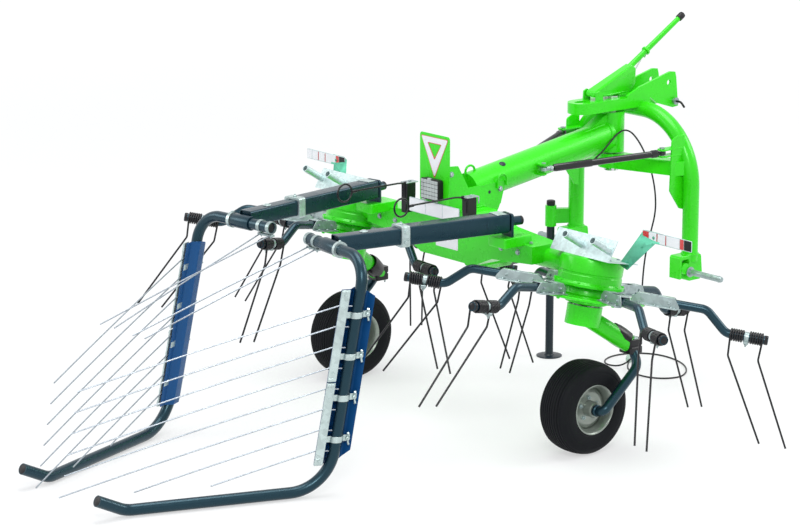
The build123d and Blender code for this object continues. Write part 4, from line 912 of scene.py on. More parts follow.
def arm_clamp(bolt):
    """One arm's pressed clamp on the hub: two cheeks, feet, straps and bolts."""
    draft = Draft()
    top = ARM_RISE + 0.024
    cheek = rounded([
        (0.190, HUB_TOP + 0.001), (0.395, HUB_TOP + 0.001), (0.395, 0.076), (0.372, top),
        (0.214, top), (0.190, 0.088),
    ], 0.006)
    for way in (-1, 1):
        draft.plate(cheek, -0.0025, 0.0025, facing_back(way * 0.0222))
        foot = card(0.196, 0.388, *sorted((way * 0.0245, way * 0.046)), 0.008)
        draft.plate(foot, HUB_TOP, HUB_TOP + 0.005)
        for x in (0.222, 0.292, 0.362):
            draft.bolt((x, way * 0.0362, HUB_TOP + 0.005), UP, bolt)
        for x in (0.236, 0.350):
            draft.bolt((x, way * 0.0247, 0.087), AHEAD * way, bolt, 0.004 if way > 0 else 0)
    for low, high in ((0.216, 0.262), (0.318, 0.370)):
        draft.plate(card(low, high, -0.0246, 0.0246, 0.005), top - 0.004, top + 0.001)
    return draft


class RAKE_OT_rotors(bpy.types.Operator):
    """Hubs, arms, clamps and double tines of both rotors"""

    bl_idname = "rake.rotors"
    bl_label = "Rotors"

    def execute(self, context):
        sizes = context.scene.rake_sizes
        arm, wire, hub = Draft(), Draft(), Draft()
        arm.tube(route(ARM_ROUTE, [0.06, 0.06], radians(6)), ARM_R, 20, mouth=0.014)
        wire.tube(tine_wire_line(sizes.coil_turns, sizes.tine_wire), sizes.tine_wire / 2, 9)
        cap = [(0, 0), (0.0205, 0), (0.0205, 0.012), (0.0175, 0.0145), (0, 0.0145)]
        wire.turned(cap, along_x(0.7700), 20)
        clip, clamp = tine_clip(sizes.small_bolt), arm_clamp(sizes.small_bolt)
        for side in SIDES:
            for shape, name, finish, smooth, solids in (
                (arm, "arm_tubes", BLUE, 32, [f"{side}_rotor_arms"]),
                (wire, "spring_tines", BLACK, 60, [f"{side}_tines"]),
                (clip, "tine_clips", ZINC, 32, []),
                (clamp, "clamp_plates", ZINC, 32, [f"{side}_arm_clamps"]),
            ):
                ring = rotor_ring(shape, side)
                ring.settle(f"{side}_{name}", f"{side}_rotor", finish, solids, smooth)
        grid = rotor_grid()
        hub.turned([
            (0.0302, 0.022), (0.082, 0.022), (0.090, 0.026), (0.090, 0.048), (0.096, 0.050),
            (0.243, 0.050), (0.250, 0.053), (0.250, 0.060), (0.247, HUB_TOP), (0.120, HUB_TOP),
            (0.114, 0.066), (0.112, 0.078), (0.108, 0.092), (0.060, 0.092), (0.0302, 0.092),
        ], grid, 72)
        for spot in bolt_circle(grid, 0.232, 0.049, 12, 0.5):
            hub.bolt(spot, grid.to_3x3() @ -UP, sizes.small_bolt)
        hub.settle_pair("hub_disc", "{side}_rotor", GREEN, "{side}_rotor_hub")
        return {"FINISHED"}


class RAKE_OT_rotor_housings(bpy.types.Operator):
    """Gear housings above the hubs, with their posts and top brackets"""

    bl_idname = "rake.rotor_housings"
    bl_label = "Rotor housings"

    def execute(self, context):
        bolt = context.scene.rake_sizes.small_bolt
        grid = rotor_grid()
        up = grid.to_3x3() @ UP
        drum, post, screws = Draft(), Draft(), Draft()
        drum.turned([
            (0, 0.098), (0.148, 0.098), (0.152, 0.101), (0.152, 0.111), (0.149, 0.114),
            (0.141, 0.115), (0.137, 0.120), (0.137, 0.146), (0.1345, 0.149), (0.1345, 0.156),
            (0.137, 0.159), (0.137, 0.210), (0.133, 0.220), (0.124, 0.226), (0.070, 0.226),
            (0, 0.226),
        ], grid, 64)
        for spot in bolt_circle(grid, 0.1445, 0.1145, 10, 0.3):
            drum.bolt(spot, up, bolt * 0.85)
        drum.settle_pair("gear_drum", "frame", GREEN, "{side}_rotor_housing")
        post.turned([(0, 0.0145), (0.0295, 0.0145), (0.0300, 0.016), (0.0300, 0.1), (0, 0.1)], grid)
        post.settle_pair("rotor_post", "frame", STEEL)
        dress(GALVANISED, "right_top_bracket", "left_top_bracket")
        dress(GREEN, "right_leg_bracket", "left_leg_bracket")
        for x, y in (
            (-0.100, -0.050), (0.030, -0.070), (0.150, -0.050), (-0.060, 0.045), (0.105, 0.045),
        ):
            screws.bolt(grid @ Vector((x, y, 0.230)), up, bolt)
        for spot in bolt_circle(grid, 0.062, 0.0140, 6, 0.5):
            screws.bolt(spot, up, bolt * 0.9)
        screws.settle_pair("housing_bolts", "frame", ZINC)
        return {"FINISHED"}


# ------------------------------------------------------------------ wheels
def tyres(sizes):
    """A ribbed tread over round shoulders, with moulding lines on the walls."""
    wall = [
        (RIM_R, -RIM_HALF), (RIM_R + 0.006, -RIM_HALF - 0.003), (0.116, -0.0765), (0.120, -0.0795),
        (0.123, -0.0795), (0.128, -0.0815), (0.142, -TYRE_HALF + 0.0006), (0.150, -TYRE_HALF),
        (0.160, -0.0815), (0.163, -0.0800), (0.166, -0.0806), (0.172, -0.0785), (0.180, -0.0745),
        (0.186, -0.0700), (0.1895, -0.0665),
    ]
    tread = []
    rib = 2 * TREAD_HALF / sizes.tread_ribs
    for number in range(sizes.tread_ribs):
        left = number * rib - TREAD_HALF
        crown = TYRE_R - 0.0085 * abs((left + rib / 2) / TREAD_HALF) ** 2.4
        for share, depth in (
            (0.06, sizes.tread_depth), (0.22, 0.0006), (0.32, 0), (0.68, 0), (0.78, 0.0006),
            (0.94, sizes.tread_depth),
        ):
            tread.append((crown - depth, left + rib * share))
    tyre = Draft()
    far_wall = [(radius, -x) for radius, x in reversed(wall)]
    tyre.turned(wall + tread + far_wall, along_x(*WHEEL_CENTRE), 96)
    tyre.settle_pair("ribbed_tyre", "{side}_wheel", RUBBER, "{side}_tyre")


def rims():
    """A pressed rim with a dished disc, wheel nuts, a hub and its cap."""
    grid = along_x(*WHEEL_CENTRE)
    rim, nuts = Draft(), Draft()
    rim.turned([
        (RIM_R - 0.001, -0.069), (0.108, -0.070), (0.110, -0.072), (0.109, -0.0745),
        (0.105, -0.0745), (0.100, -0.070), (0.094, -0.060), (0.091, -0.045), (0.086, -0.030),
        (0.084, 0.010), (0.086, 0.020), (0.080, 0.030), (0.070, 0.033), (0.058, 0.028),
        (0.0345, 0.028), (0.0345, 0.034), (0.056, 0.034), (0.070, 0.039), (0.082, 0.036),
        (0.090, 0.028), (0.091, 0.050), (0.096, 0.060), (0.100, 0.070), (0.105, 0.0745),
        (0.109, 0.0745), (0.110, 0.072), (0.108, 0.070), (RIM_R - 0.001, 0.069),
        (0.099, 0.055), (0.095, 0.040), (0.095, -0.040), (0.099, -0.055),
    ], grid, 72)
    rim.turned([
        (0.0128, -0.049), (0.030, -0.049), (0.033, -0.046), (0.034, 0.020), (0.034, 0.070),
        (0.030, 0.0775), (0.0128, 0.0775),
    ], grid)
    rim.settle_pair("wheel_disc", "{side}_wheel", RIM, "{side}_wheel_rim")
    centre = Vector(WHEEL_CENTRE)
    for spot in around(centre + RIGHT * 0.034, AHEAD * 0.047, UP * 0.047, 5, start=0.3)[:-1]:
        nuts.bolt(spot, RIGHT, 0.0085, 0.004)
    valve = centre + Vector((0.040, 0.078, -0.020))
    nuts.tube([valve - RIGHT * 0.012, valve + Vector((0.022, 0.004, 0))], 0.0035, 10)
    nuts.settle_pair("wheel_nuts", "{side}_wheel", ZINC)


def wheel_legs(bolt):
    """Bent tube legs with stub axles, clamped in a block under each housing."""
    leg, axle, block, strip = Draft(), Draft(), Draft(), Draft()
    end = (LEG_AXLE_X, AXLE_Y, TYRE_R)
    line = [end, (0.9215, AXLE_Y, TYRE_R), (0.9175, 0.605, 0.375), LEG_BLOCK]
    leg.tube(route(line, [0.026, 0.07], radians(6)), 0.021, 28)
    collar = [(0, -0.008), (0.026, -0.008), (0.026, 0.002), (0.022, 0.006), (0, 0.006)]
    leg.turned(collar, along_x(*end), 28)
    leg.settle_pair("wheel_leg_tube", "frame", BLUE, "{side}_wheel_leg")
    axle.tube([(0.736, AXLE_Y, TYRE_R), (0.880, AXLE_Y, TYRE_R)], 0.0124, 24)
    axle.bolt((0.7440, AXLE_Y, TYRE_R), -RIGHT, 0.014)
    axle.settle_pair("stub_axle", "frame", STEEL)
    centre = Matrix.Translation(LEG_BLOCK)
    half = card(-0.038, 0.038, -0.037, 0.037, 0.010, 5)
    block.plate(half, -0.032, -0.003, centre, edge=0.002)
    block.plate(half, 0.003, 0.032, centre, edge=0.002)
    block.plate(card(-0.035, 0.035, -0.034, 0.034, 0.010, 5), -0.0031, 0.0031, centre, edge=0)
    head, foot = Vector((0.826, 0.530, 0.520)), Vector((0.852, 0.596, 0.470))
    line = [head.lerp(foot, share) for share in (0, 0.25, 0.6, 1)]
    block.tube(line, 0.0435, 24, [0.96, 1.04, 1.04, 0.98])
    block.settle_pair("leg_clamp_block", "frame", BLACK)
    strip.plate(card(-0.034, 0.034, -0.012, 0.012, 0.004), 0.032, 0.037, centre)
    for x in (-0.024, 0.024):
        strip.bolt(centre @ Vector((x, 0, 0.037)), UP, bolt)
        strip.bolt(centre @ Vector((x, 0.022, -0.032)), -UP, bolt, 0.008)
    strip.settle_pair("leg_clamp_strip", "frame", BRIGHT_ZINC)


class RAKE_OT_wheels(bpy.types.Operator):
    """Tyres, rims and the legs that carry them"""

    bl_idname = "rake.wheels"
    bl_label = "Wheels"

    def execute(self, context):
        sizes = context.scene.rake_sizes
        tyres(sizes)
        rims()
        wheel_legs(sizes.small_bolt)
        return {"FINISHED"}


# ------------------------------------------------------------------ frame
def pivots():
    """Feet, plates and pins that the swath formers fold on."""
    foot, fork = Draft(), Draft()
    foot.plate(card(0.397, 0.509, 0.200, 0.360, 0.010), 0.870, 0.9125, edge=0.002)
    grid = carrier_grid()
    web = rounded(card(-0.041, 0.041, -0.064, 0.040), [0.003, 0.003, 0.012, 0.012])
    fork.plate(web, -0.0200, -0.0080, grid, edge=0.0015)
    pin = [(0, -0.072), (0.0185, -0.072), (0.0200, -0.070), (0.0200, 0.112), (0, 0.112)]
    fork.turned(pin, grid, 36)
    foot.settle_both("pivot_feet", GREEN, "swath_pivots")
    fork.settle_both("pivot_forks", BLUE)


def frame_welds(radius):
    """Beads where plates and tubes meet."""
    bead = Draft()
    boom_drop = sqrt(0.069 ** 2 - 0.0675 ** 2) + 0.004
    for side in (-1, 1):
        for x in (0.0655, 0.0745):
            bead.weld([(side * x, 0.466, 0.953), (side * x, 0.240, 0.953)], radius)
        stations = [0.440 + step * 0.016 for step in range(10)]
        bead.weld([(side * 0.0665, y, boom_z(y) - boom_drop) for y in stations], radius)
    middle = (0, 1.243, boom_z(1.247))
    bead.weld(around(middle, (0, 0.006, 0.0705), (0.070, 0, 0), 24, pi, -pi / 2), radius)
    for side in (-1, 1):
        bead.weld([
            (side * 0.0275, 1.110, boom_z(1.110) + 0.062),
            (side * 0.0275, 1.235, boom_z(1.235) + 0.064),
        ], radius)
    for x in (-0.178, 0.178):
        bead.weld([(x, 0.4635, 0.730), (x, 0.4635, 0.890)], radius)
    bead.settle("frame_welds", "frame", GREEN)


def frame_bolts(large, small):
    """Bolts on the gearbox flange, the side plates and the beam's ends."""
    draft = Draft()
    for x in (-0.158, 0.158):
        for z in (0.745, 0.810, 0.880):
            draft.bolt((x, 0.472, z), AHEAD, large)
    for x in (-0.0644, 0.0644):
        for z in (0.700, 0.800):
            draft.bolt((x, SHAFT[1], z), AHEAD, small)
    for side in (-1, 1):
        for y, z in ((0.270, 1.118), (0.556, 1.017)):
            draft.bolt((side * 0.074, y, z), RIGHT * side, large)
        for x, z in ((0.205, 0.886), (0.400, 0.880), (0.520, 0.880)):
            draft.bolt((side * x, 0.340, z), (side * 0.1, 0, 1), small)
        for x in (0.360, 0.470):
            draft.bolt((side * x, 0.310, 0.835), -AHEAD, large)
    draft.settle("frame_bolts", "frame", ZINC)


def side_plate_corners():
    """Lower corners of the boom's side plates, a dark disc on each for a hole's rim with painted
    shade filling the hole, and the plug on the boom.
    """
    draft, dark = Draft(), Draft()
    corner = rounded([
        (0.444, 0.956), (0.5615, 0.956), (0.546, 0.926), (0.529, 0.905), (0.444, 0.905),
    ], [0, 0, 0.02, 0.006, 0])
    for side in (-1, 1):
        draft.plate(corner, *sorted((side * 0.0664, side * 0.0736)), along_x())
        # Dark disc on the side plate: the hole's rim, with painted shade filling the hole.
        rim = place((side * 0.0741, 0.493, 1.010), RIGHT * side)
        dark.turned([(0, 0), (0.0078, 0), (0.0070, 0.0008), (0, 0.0008)], rim, 24)
    draft.settle("side_plate_corners", "frame", GREEN)
    spot = Vector((0, 0.607, boom_z(0.607))) + Vector((0.43, 0, 0.903)) * 0.0688
    plug = [(0, 0), (0.0150, 0), (0.0150, 0.0015), (0.0120, 0.0035), (0, 0.0040)]
    dark.turned(plug, place(spot, (0.43, -0.15, 0.89)), 28)
    # One piece: the real plug on the boom and the side plates' discs of painted hole shade.
    dark.settle("boom_plugs", "frame", STAND_BLUE)


def boom_hooks():
    """Two bent eyes, one on the boom and one on its side plate."""
    draft = Draft()
    for x, back, front, low, top in (
        (0.0, 0.4155, 0.4685, 1.086, 1.1250), (0.0790, 0.5370, 0.5890, 1.022, 1.0830),
    ):
        end = low + (front - back) * 0.16
        line = [(x, back, low), (x, back, top), (x, front, top), (x, front, end)]
        draft.tube(route(line, [0.0255, 0.0255]), 0.0052, 14)
        for y, z in ((back, low + 0.004), (front, low + 0.012)):
            draft.weld([(x, y, z), (x, y, z + 0.008)], 0.0066)
    draft.settle("boom_hooks", "frame", GREEN, ["cable_hooks"])


def latches():
    """Rods and rings that lift the latches of the swath formers."""
    pull, case, lid = Draft(), Draft(), Draft()
    pull.tube(around((0.194, -0.112, 1.043), AHEAD * 0.0392, UP * 0.0392, 48), 0.0043, 12)
    rod = [
        (0.196, 0.236, 1.041), (0.194, 0.190, 1.046), (0.194, -0.032, 1.045),
        (0.194, -0.072, 1.043),
    ]
    pull.tube(route(rod, [0.10, 0.03]), 0.0040, 12)
    collar = [(0.0040, -0.014), (0.0062, -0.012), (0.0062, 0.012), (0.0040, 0.014)]
    pull.turned(collar, place((0.194, -0.058, 1.0435), (0, 1, 0.03)), 16)
    pull.settle_both("latch_pulls", BLACK, "pull_rods")
    back = facing_back()
    case.plate(rounded([
        (0.186, 1.040), (0.227, 1.040), (0.227, 0.905), (0.198, 0.905), (0.186, 0.985),
    ], [0.005, 0.005, 0.003, 0.003, 0.012]), -0.286, -0.234, back, edge=0.0025)
    case.plate(card(0.197, 0.219, 0.975, 1.028, 0.004, 3), -0.2345, -0.2315, back, edge=0.001)
    mouth = [(0.0042, 0), (0.0080, 0), (0.0070, 0.010), (0.0042, 0.012)]
    case.turned(mouth, place((0.196, 0.235, 1.041), (0, -1, 0.08)), 18)
    case.settle_both("latch_cases", PLASTIC, "latch_blocks")
    lid.plate(card(0.183, 0.230, 0.230, 0.300, 0.006), 1.0402, 1.0440)
    lid.plate(card(0.2272, 0.2300, 1.012, 1.0405, 0.001, 2), -0.298, -0.290, back, edge=0.0005)
    lid.bolt((0.207, 0.268, 1.044), UP, 0.007)
    lid.settle_both("latch_lids", ZINC)


def input_stub():
    """The splined input stub in its guard."""
    guard, stub = Draft(), Draft()
    grid = axes(SHAFT, RIGHT, -UP, AHEAD)
    guard.turned([
        (0.0525, 0.0), (0.058, 0.0), (0.058, 0.012), (0.070, 0.014), (0.0755, 0.018),
        (0.0755, 0.040), (0.0745, 0.042), (0.0745, 0.048), (0.0755, 0.050), (0.0755, 0.120),
        (0.0760, 0.124), (0.0760, 0.131), (0.0725, 0.132), (0.0715, 0.130), (0.0715, 0.020),
        (0.052, 0.018),
    ], grid, 64)
    guard.settle("shaft_guard", "frame", PLASTIC, ["pto_guard"])
    outline = []
    for spline in range(6):
        for share, radius in (
            (0, 0.0150), (0.22, 0.0150), (0.30, 0.0175), (0.70, 0.0175), (0.78, 0.0150),
        ):
            angle = 2 * pi * (spline + share) / 6
            outline.append((radius * cos(angle), radius * sin(angle)))
    stub.plate(outline, 0.022, 0.105, grid, edge=0.0015)
    core = [(0, -0.050), (0.0199, -0.050), (0.0199, 0.0195), (0.0185, 0.0205), (0, 0.0205)]
    stub.turned(core, grid, 32)
    stub.settle("splined_stub", "input_shaft", STEEL, ["pto_shaft"], 20)


class RAKE_OT_frame(bpy.types.Operator):
    """Cross beam, boom, gearbox, latches and what is bolted to them"""

    bl_idname = "rake.frame"
    bl_label = "Frame"

    def execute(self, context):
        sizes = context.scene.rake_sizes
        dress(GREEN, "cross_beam", "boom", "damper_lugs", "center_gearbox")
        pivots()
        frame_welds(sizes.weld_bead)
        frame_bolts(sizes.frame_bolt, sizes.small_bolt)
        side_plate_corners()
        boom_hooks()
        latches()
        input_stub()
        return {"FINISHED"}


# ------------------------------------------------------------------ signs
def triangle():
    """A hollow reflective triangle with narrow red borders, point down."""

    def outline(size):
        """One border, with the point down, from half its width at the top."""
        level = 1.277 - (0.092 - size) * 0.62
        return rounded([(-size, level), (0, 1.269 - size * 1.92), (size, level)], 0.004, 3)

    for name, finish, near, outer, inner in (
        ("triangle_border", RED_FILM, 0.0002, 0.092, 0.044),
        ("triangle_face", WHITE_FILM, 0.0008, 0.088, 0.049),
    ):
        film = Draft()
        hole = [outline(inner)]
        film.plate(outline(outer), near, near + 0.0008, facing_back(0.237), hole, 0.0001)
        film.settle(name, "frame", finish)


def document_box():
    """A moulded box with a ribbed door, a hinge and a catch."""
    back = facing_back()
    case, door = Draft(), Draft()
    case.plate(card(-0.060, 0.060, 1.0015, 1.0940, 0.012, 6), -0.237, -0.213, back, edge=0.002)
    case.plate(card(-0.061, 0.061, 1.0005, 1.0950, 0.012, 6), -0.2125, -0.207, back, edge=0.0018)
    for column in range(6):
        for row in range(5):
            x, z = -0.0562 + column * 0.0190, 1.0060 + row * 0.0172
            cell = card(x, x + 0.0172, z, z + 0.0152, 0.0015, 2)
            door.plate(cell, -0.2075, -0.2045, back, edge=0.0010)
    for x in (-0.052, 0.028):
        door.sleeve(0, 0.0035, 0, 0.024, along_x(x, 0.2095, 1.000), 14)
    door.block((-0.010, 0.2035, 1.084), (0.010, 0.212, 1.0985), edge=0.0015)
    case.settle("document_case", "frame", PLASTIC, ["document_box"])
    door.settle("document_door", "frame", GREY)


def panels():
    """Blank reflective panels on the plates at the rear."""
    back = facing_back()
    white, backing = Draft(), Draft()
    for low, high in ((-0.164, -0.057), (-0.053, 0.058), (0.062, 0.170)):
        white.plate(card(low, high, 0.925, 0.983, 0.003, 3), -0.2320, -0.2302, back, edge=0.0003)
    backing.plate(card(-0.167, 0.173, 0.922, 0.986, 0.004, 3), -0.2345, -0.2318, back, edge=0.0004)
    for x in (-0.0700, 0.0700):
        backing.bolt((x, 0.2345, 0.9545), AHEAD, 0.0052)
    backing.settle("panel_backing", "frame", GALVANISED)
    white.plate(card(-0.075, 0.075, 0.770, 0.850, 0.004, 3), -0.3098, -0.3080, back, edge=0.0003)
    white.settle("blank_panels", "frame", WHITE_FILM)


def marker_boards(bolt):
    """Striped boards on slanting straps, one each side."""
    back = facing_back()
    face, rear = -0.531, -0.534
    strap, board = Draft(), Draft()
    outline = [
        (0.844, 0.818), (0.893, 0.801), (0.985, 0.876), (1.076, 0.948), (1.102, 0.948),
        (1.102, 0.996), (1.015, 0.996), (0.997, 0.984), (0.925, 0.904),
    ]
    radii = [0.002, 0.002, 0, 0.004, 0.004, 0.004, 0.006, 0.006, 0]
    strap.plate(rounded(outline, radii, 3), -0.538, rear, back)
    for point in strap.points:
        share = min(1.0, max(0.0, (0.960 - point.z) / 0.150))
        point += Vector((0.104, -0.084, 0.031)) * share
    strap.bolt((0.982, 0.462, 0.862), (0.3, -0.9, 0.3), bolt * 0.8)
    strap.bolt((1.022, 0.510, 0.926), (0.3, -0.9, 0.3), bolt * 0.6)
    strap.bolt((1.070, 0.531, 0.972), -AHEAD, bolt * 0.8)
    strap.settle_both("marker_straps", PASSIVATED, "marker_boards")
    board.plate(card(1.003, 1.293, 0.948, 0.996, 0.004, 3), rear, face, back, edge=0.0005)
    board.settle_both("marker_plates", GALVANISED)
    white, red, dark = Draft(), Draft(), Draft()
    for shift, first in ((0.0, red), (-2.296, white)):
        for low, high, film in (
            (1.006, 1.040, first), (1.043, 1.086, white), (1.088, 1.092, red),
            (1.094, 1.138, white), (1.140, 1.144, red), (1.146, 1.222, white),
            (1.225, 1.246, red), (1.249, 1.290, dark),
        ):
            cell = card(low + shift, high + shift, 0.951, 0.993, 0.002, 2)
            film.plate(cell, face, face + 0.0008, back, edge=0.0001)
    white.settle("marker_white", "frame", WHITE_FILM)
    red.settle("marker_red", "frame", RED_FILM)
    dark.settle("marker_dark", "frame", PLASTIC)


class RAKE_OT_signs(bpy.types.Operator):
    """Sign plate with its triangle, document box, blank panels and marker boards"""

    bl_idname = "rake.signs"
    bl_label = "Signs"

    def execute(self, context):
        dress(GREEN, "sign_plate")
        triangle()
        document_box()
        panels()
        marker_boards(context.scene.rake_sizes.small_bolt)
        return {"FINISHED"}


# ------------------------------------------------------------------ headstock
def arch(weld):
    """The bent tube, its hitch blocks, gussets and damper lugs."""
    draft, bead = Draft(), Draft()
    foot, crown = 0.612, 1.2725
    draft.tube(route([
        (LEG_X, ARCH_Y, foot), (LEG_X, ARCH_Y, crown), (-LEG_X, ARCH_Y, crown),
        (-LEG_X, ARCH_Y, foot),
    ], [0.320, 0.320], radians(4)), ARCH_TUBE_R, 40)
    block = rounded([
        (1.400, 0.525), (1.490, 0.525), (1.498, 0.560), (1.490, 0.645), (1.352, 0.645),
        (1.352, 0.540), (1.366, 0.540), (1.366, 0.628), (1.412, 0.628), (1.412, 0.560),
    ], [0.016, 0.012, 0.012, 0.016, 0.012, 0.002, 0.002, 0.008, 0.008, 0.010])
    boss = [(0, -0.046), (0.024, -0.046), (0.026, -0.044), (0.026, -0.002), (0, -0.002)]
    gusset = rounded([
        (1.425, 0.850), (1.400, 0.857), (1.338, 0.944), (1.346, 1.180), (1.380, 1.196),
        (1.425, 1.196),
    ], [0, 0.010, 0.016, 0.016, 0.010, 0])
    for side in (-1, 1):
        draft.plate(block, *sorted((side * 0.345, side * 0.4125)), along_x(), edge=0.002)
        draft.turned(boss, axes((side * 0.4125, 1.393, 0.585), AHEAD, UP, RIGHT * side), 32)
        draft.plate(gusset, *sorted((side * 0.3455, side * 0.3535)), along_x())
        middle = side * 0.332
        lug = card(middle - 0.023, middle + 0.023, 1.285, ARCH_Y)
        for level in (-0.0185, 0.0115):
            low = DAMPER_FRONT.z + level
            draft.plate(rounded(lug, [0.018, 0.018, 0, 0], 5), low, low + 0.007)
        x = side * (LEG_X - ARCH_TUBE_R + 0.006)
        bead.weld([(x, 1.4240, 0.855), (x, 1.4240, 1.010)], weld)
        bead.weld(around((side * LEG_X, ARCH_Y, 0.6465), RIGHT * 0.0385, AHEAD * 0.0385, 24), weld)
    draft.settle("arch_frame", "headstock", GREEN, ["headstock_arch"])
    for side in (-1, 1):
        bead.weld([(side * 0.0505, 1.372, 1.335), (side * 0.0505, 1.420, 1.3365)], weld)
        brace = [(side * 0.061, 1.2600, BRACE_TOP), (side * 0.335, 1.3560, BRACE_TOP)]
        bead.weld(brace, weld * 0.8)
    bead.settle("headstock_welds", "headstock", GREEN)


def link_pins():
    """Lower link pins with their shoulders, linch holes and nuts, and the damper pins."""
    draft, pins = Draft(), Draft()
    for side in (-1, 1):
        grid = axes((side * 0.345, HITCH_Y, HITCH_Z), AHEAD, UP, RIGHT * side)
        draft.turned([
            (0, -0.002), (0.013, -0.002), (0.013, 0.067), (0.024, 0.0675), (0.024, 0.0715),
            (0.0140, 0.072), (0.0140, 0.2610), (0.0115, 0.2672), (0, 0.2672),
        ], grid)
        nut = [(0, -0.014), (0.0205, -0.014), (0.0215, -0.012), (0.0215, -0.001), (0, -0.001)]
        draft.lathe(nut, grid, 6)
        draft.sleeve(0.0132, 0.0215, -0.0012, 0, grid, 28)
        hole = place((side * 0.595, HITCH_Y, HITCH_Z - 0.014), UP)
        for low in (-0.0004, 0.0268):
            draft.sleeve(0.0045, 0.0062, low, low + 0.0016, hole, 16)
        spot = Vector((side * DAMPER_FRONT.x, *DAMPER_FRONT.yz))
        pins.turned([
            (0, -0.0230), (0.0078, -0.0230), (0.0078, 0.0200), (0.0125, 0.0202),
            (0.0125, 0.0240), (0.0105, 0.0252), (0, 0.0252),
        ], place(spot, UP), 24)
        cotter = [spot + Vector((side * x, 0, -0.0205)) for x in (-0.014, 0.014)]
        pins.tube(cotter, 0.0018, 8)
    draft.settle("link_pins", "headstock", ZINC, ["hitch_pins"])
    pins.settle("damper_front_pins", "headstock", ZINC)


def top_link_pin():
    """The loose top link pin kept in the lower holes, with its handle and chain end."""
    pin, grip = Draft(), Draft()
    pin.turned([
        (0, 0), (0.0105, 0), (0.0122, 0.002), (0.0122, 0.156), (0.0172, 0.1565),
        (0.0172, 0.1615), (0, 0.162),
    ], along_x(-0.080, TOP_LINK_Y, TOP_LINK_Z), 32)
    pin.settle("top_link_pin", "headstock", ZINC)
    bow = [(0.079, TOP_LINK_Y, TOP_LINK_Z), (0.110, TOP_LINK_Y, TOP_LINK_Z), (0.118, 1.655, 1.262)]
    grip.tube(route(bow, [0.014]), 0.0052, 12)
    clip = (-0.068, TOP_LINK_Y, TOP_LINK_Z)
    grip.tube(around(clip, AHEAD * 0.019, UP * 0.019, 15, radians(300)), 0.0016, 8)
    grip.settle("top_link_handle", "headstock", PLASTIC)


def lever():
    """The locking lever with its grip and the collar for its cord."""
    draft, grip, ring = Draft(), Draft(), Draft()
    draft.plate(rounded([
        (1.164, 1.350), (1.262, 1.3475), (1.398, 1.351), (1.434, 1.385), (1.438, 1.455),
        (1.408, 1.478), (1.166, 1.376),
    ], [0.010, 0.02, 0.020, 0.020, 0.012, 0.014, 0.010], 5), -0.032, 0.032, along_x(), edge=0.007)
    for point in draft.points:
        waist = min(1.0, max(0.0, (point.y - 1.215) / 0.215))
        point.x *= 1.0 - 0.42 * waist ** 1.4
    tip = Vector((0, 1.751, 1.677))
    way = (tip - Vector((0, 1.414, 1.466))).normalized()
    base, neck = Vector((0, 1.392, 1.452)), tip - way * 0.003
    line = [base.lerp(neck, step / 6) for step in range(7)]
    draft.tube(line, 0.0135, 24, [1.08, 1.04, 1.0, 0.96, 0.93, 0.90, 0.88])
    draft.settle("locking_lever", "lever", GREEN, ["lock_lever"], 40)
    grip.turned([
        (0.0120, -0.036), (0.0152, -0.036), (0.0162, -0.034), (0.0165, -0.010),
        (0.0150, -0.003), (0.0110, 0.0), (0, 0.0), (0, -0.030),
    ], place(tip, way), 28)
    grip.settle("lever_grip", "lever", PLASTIC)
    middle = tip - way * 0.280
    ring.turned([
        (0.0136, -0.005), (0.0200, -0.005), (0.0210, -0.003), (0.0210, 0.003),
        (0.0200, 0.005), (0.0136, 0.005),
    ], place(middle, way), 28)
    bends = ((0, 0, -0.018), (0, -0.006, -0.030), (0, -0.014, -0.026))
    ring.tube([middle + Vector(bend) for bend in bends], 0.0025, 8)
    ring.settle("lever_collar", "lever", GREEN)


def lever_chain():
    """The short chain that holds the top link pin's clip."""
    chain = Draft()
    top, low = Vector((-0.004, 1.497, 1.505)), Vector((-0.0575, 1.455, 1.392))
    heading = (low - top).normalized()
    count = 13
    for number in range(count):
        share = (number + 0.5) / count
        spot = top.lerp(low, share) - UP * (0.010 * sin(pi * share))
        side = heading.cross(RIGHT).normalized() if number % 2 else RIGHT
        chain.tube(around(spot, heading * 0.0052, side * 0.0032, 12), 0.0009, 6)
    chain.settle("lever_chain", "headstock", ZINC)


def stand():
    """Parking stand: a drilled tube on a dished foot, its cap, and the pin that locks it."""
    draft, rings, cap, pin = Draft(), Draft(), Draft(), Draft()
    grid = place((STAND_X, STAND_Y, 0), UP)
    draft.turned([
        (0, 0.0005), (0.055, 0.0), (0.062, 0.002), (0.062, 0.006), (0.056, 0.0078),
        (0.026, 0.0082), (0.0215, 0.012), (0.0190, 0.016), (0.0190, 0.752), (0.0165, 0.754),
        (0, 0.754),
    ], grid)
    draft.settle("stand_tube", "stand", STAND_BLUE, ["parking_stand"])
    for number in range(9):
        hole = place((STAND_X, STAND_Y + 0.0170, 0.140 + number * 0.052), AHEAD)
        rings.sleeve(0.0034, 0.0045, 0, 0.00135, hole, 16)
    rings.settle("stand_hole_rims", "stand", ZINC)
    cap.turned([
        (0, 0.750), (0.0205, 0.750), (0.0212, 0.753), (0.0205, 0.7675), (0.0160, 0.7698),
        (0, 0.7698),
    ], grid, 32)
    cap.settle("stand_cap", "stand", PLASTIC)
    dress(GREEN, "stand_socket")
    pin.turned([
        (0, 0), (0.0105, 0), (0.0105, 0.014), (0.0085, 0.017), (0.0045, 0.018),
        (0.0045, 0.026), (0, 0.026),
    ], place((STAND_X, STAND_Y + 0.0265, STAND_PIN_Z), AHEAD), 24)
    loop = (STAND_X, STAND_Y + 0.060, STAND_PIN_Z)
    pin.tube(around(loop, RIGHT * 0.013, UP * 0.013, 20), 0.0022, 8)
    pin.settle("stand_lock_pin", "headstock", ZINC)


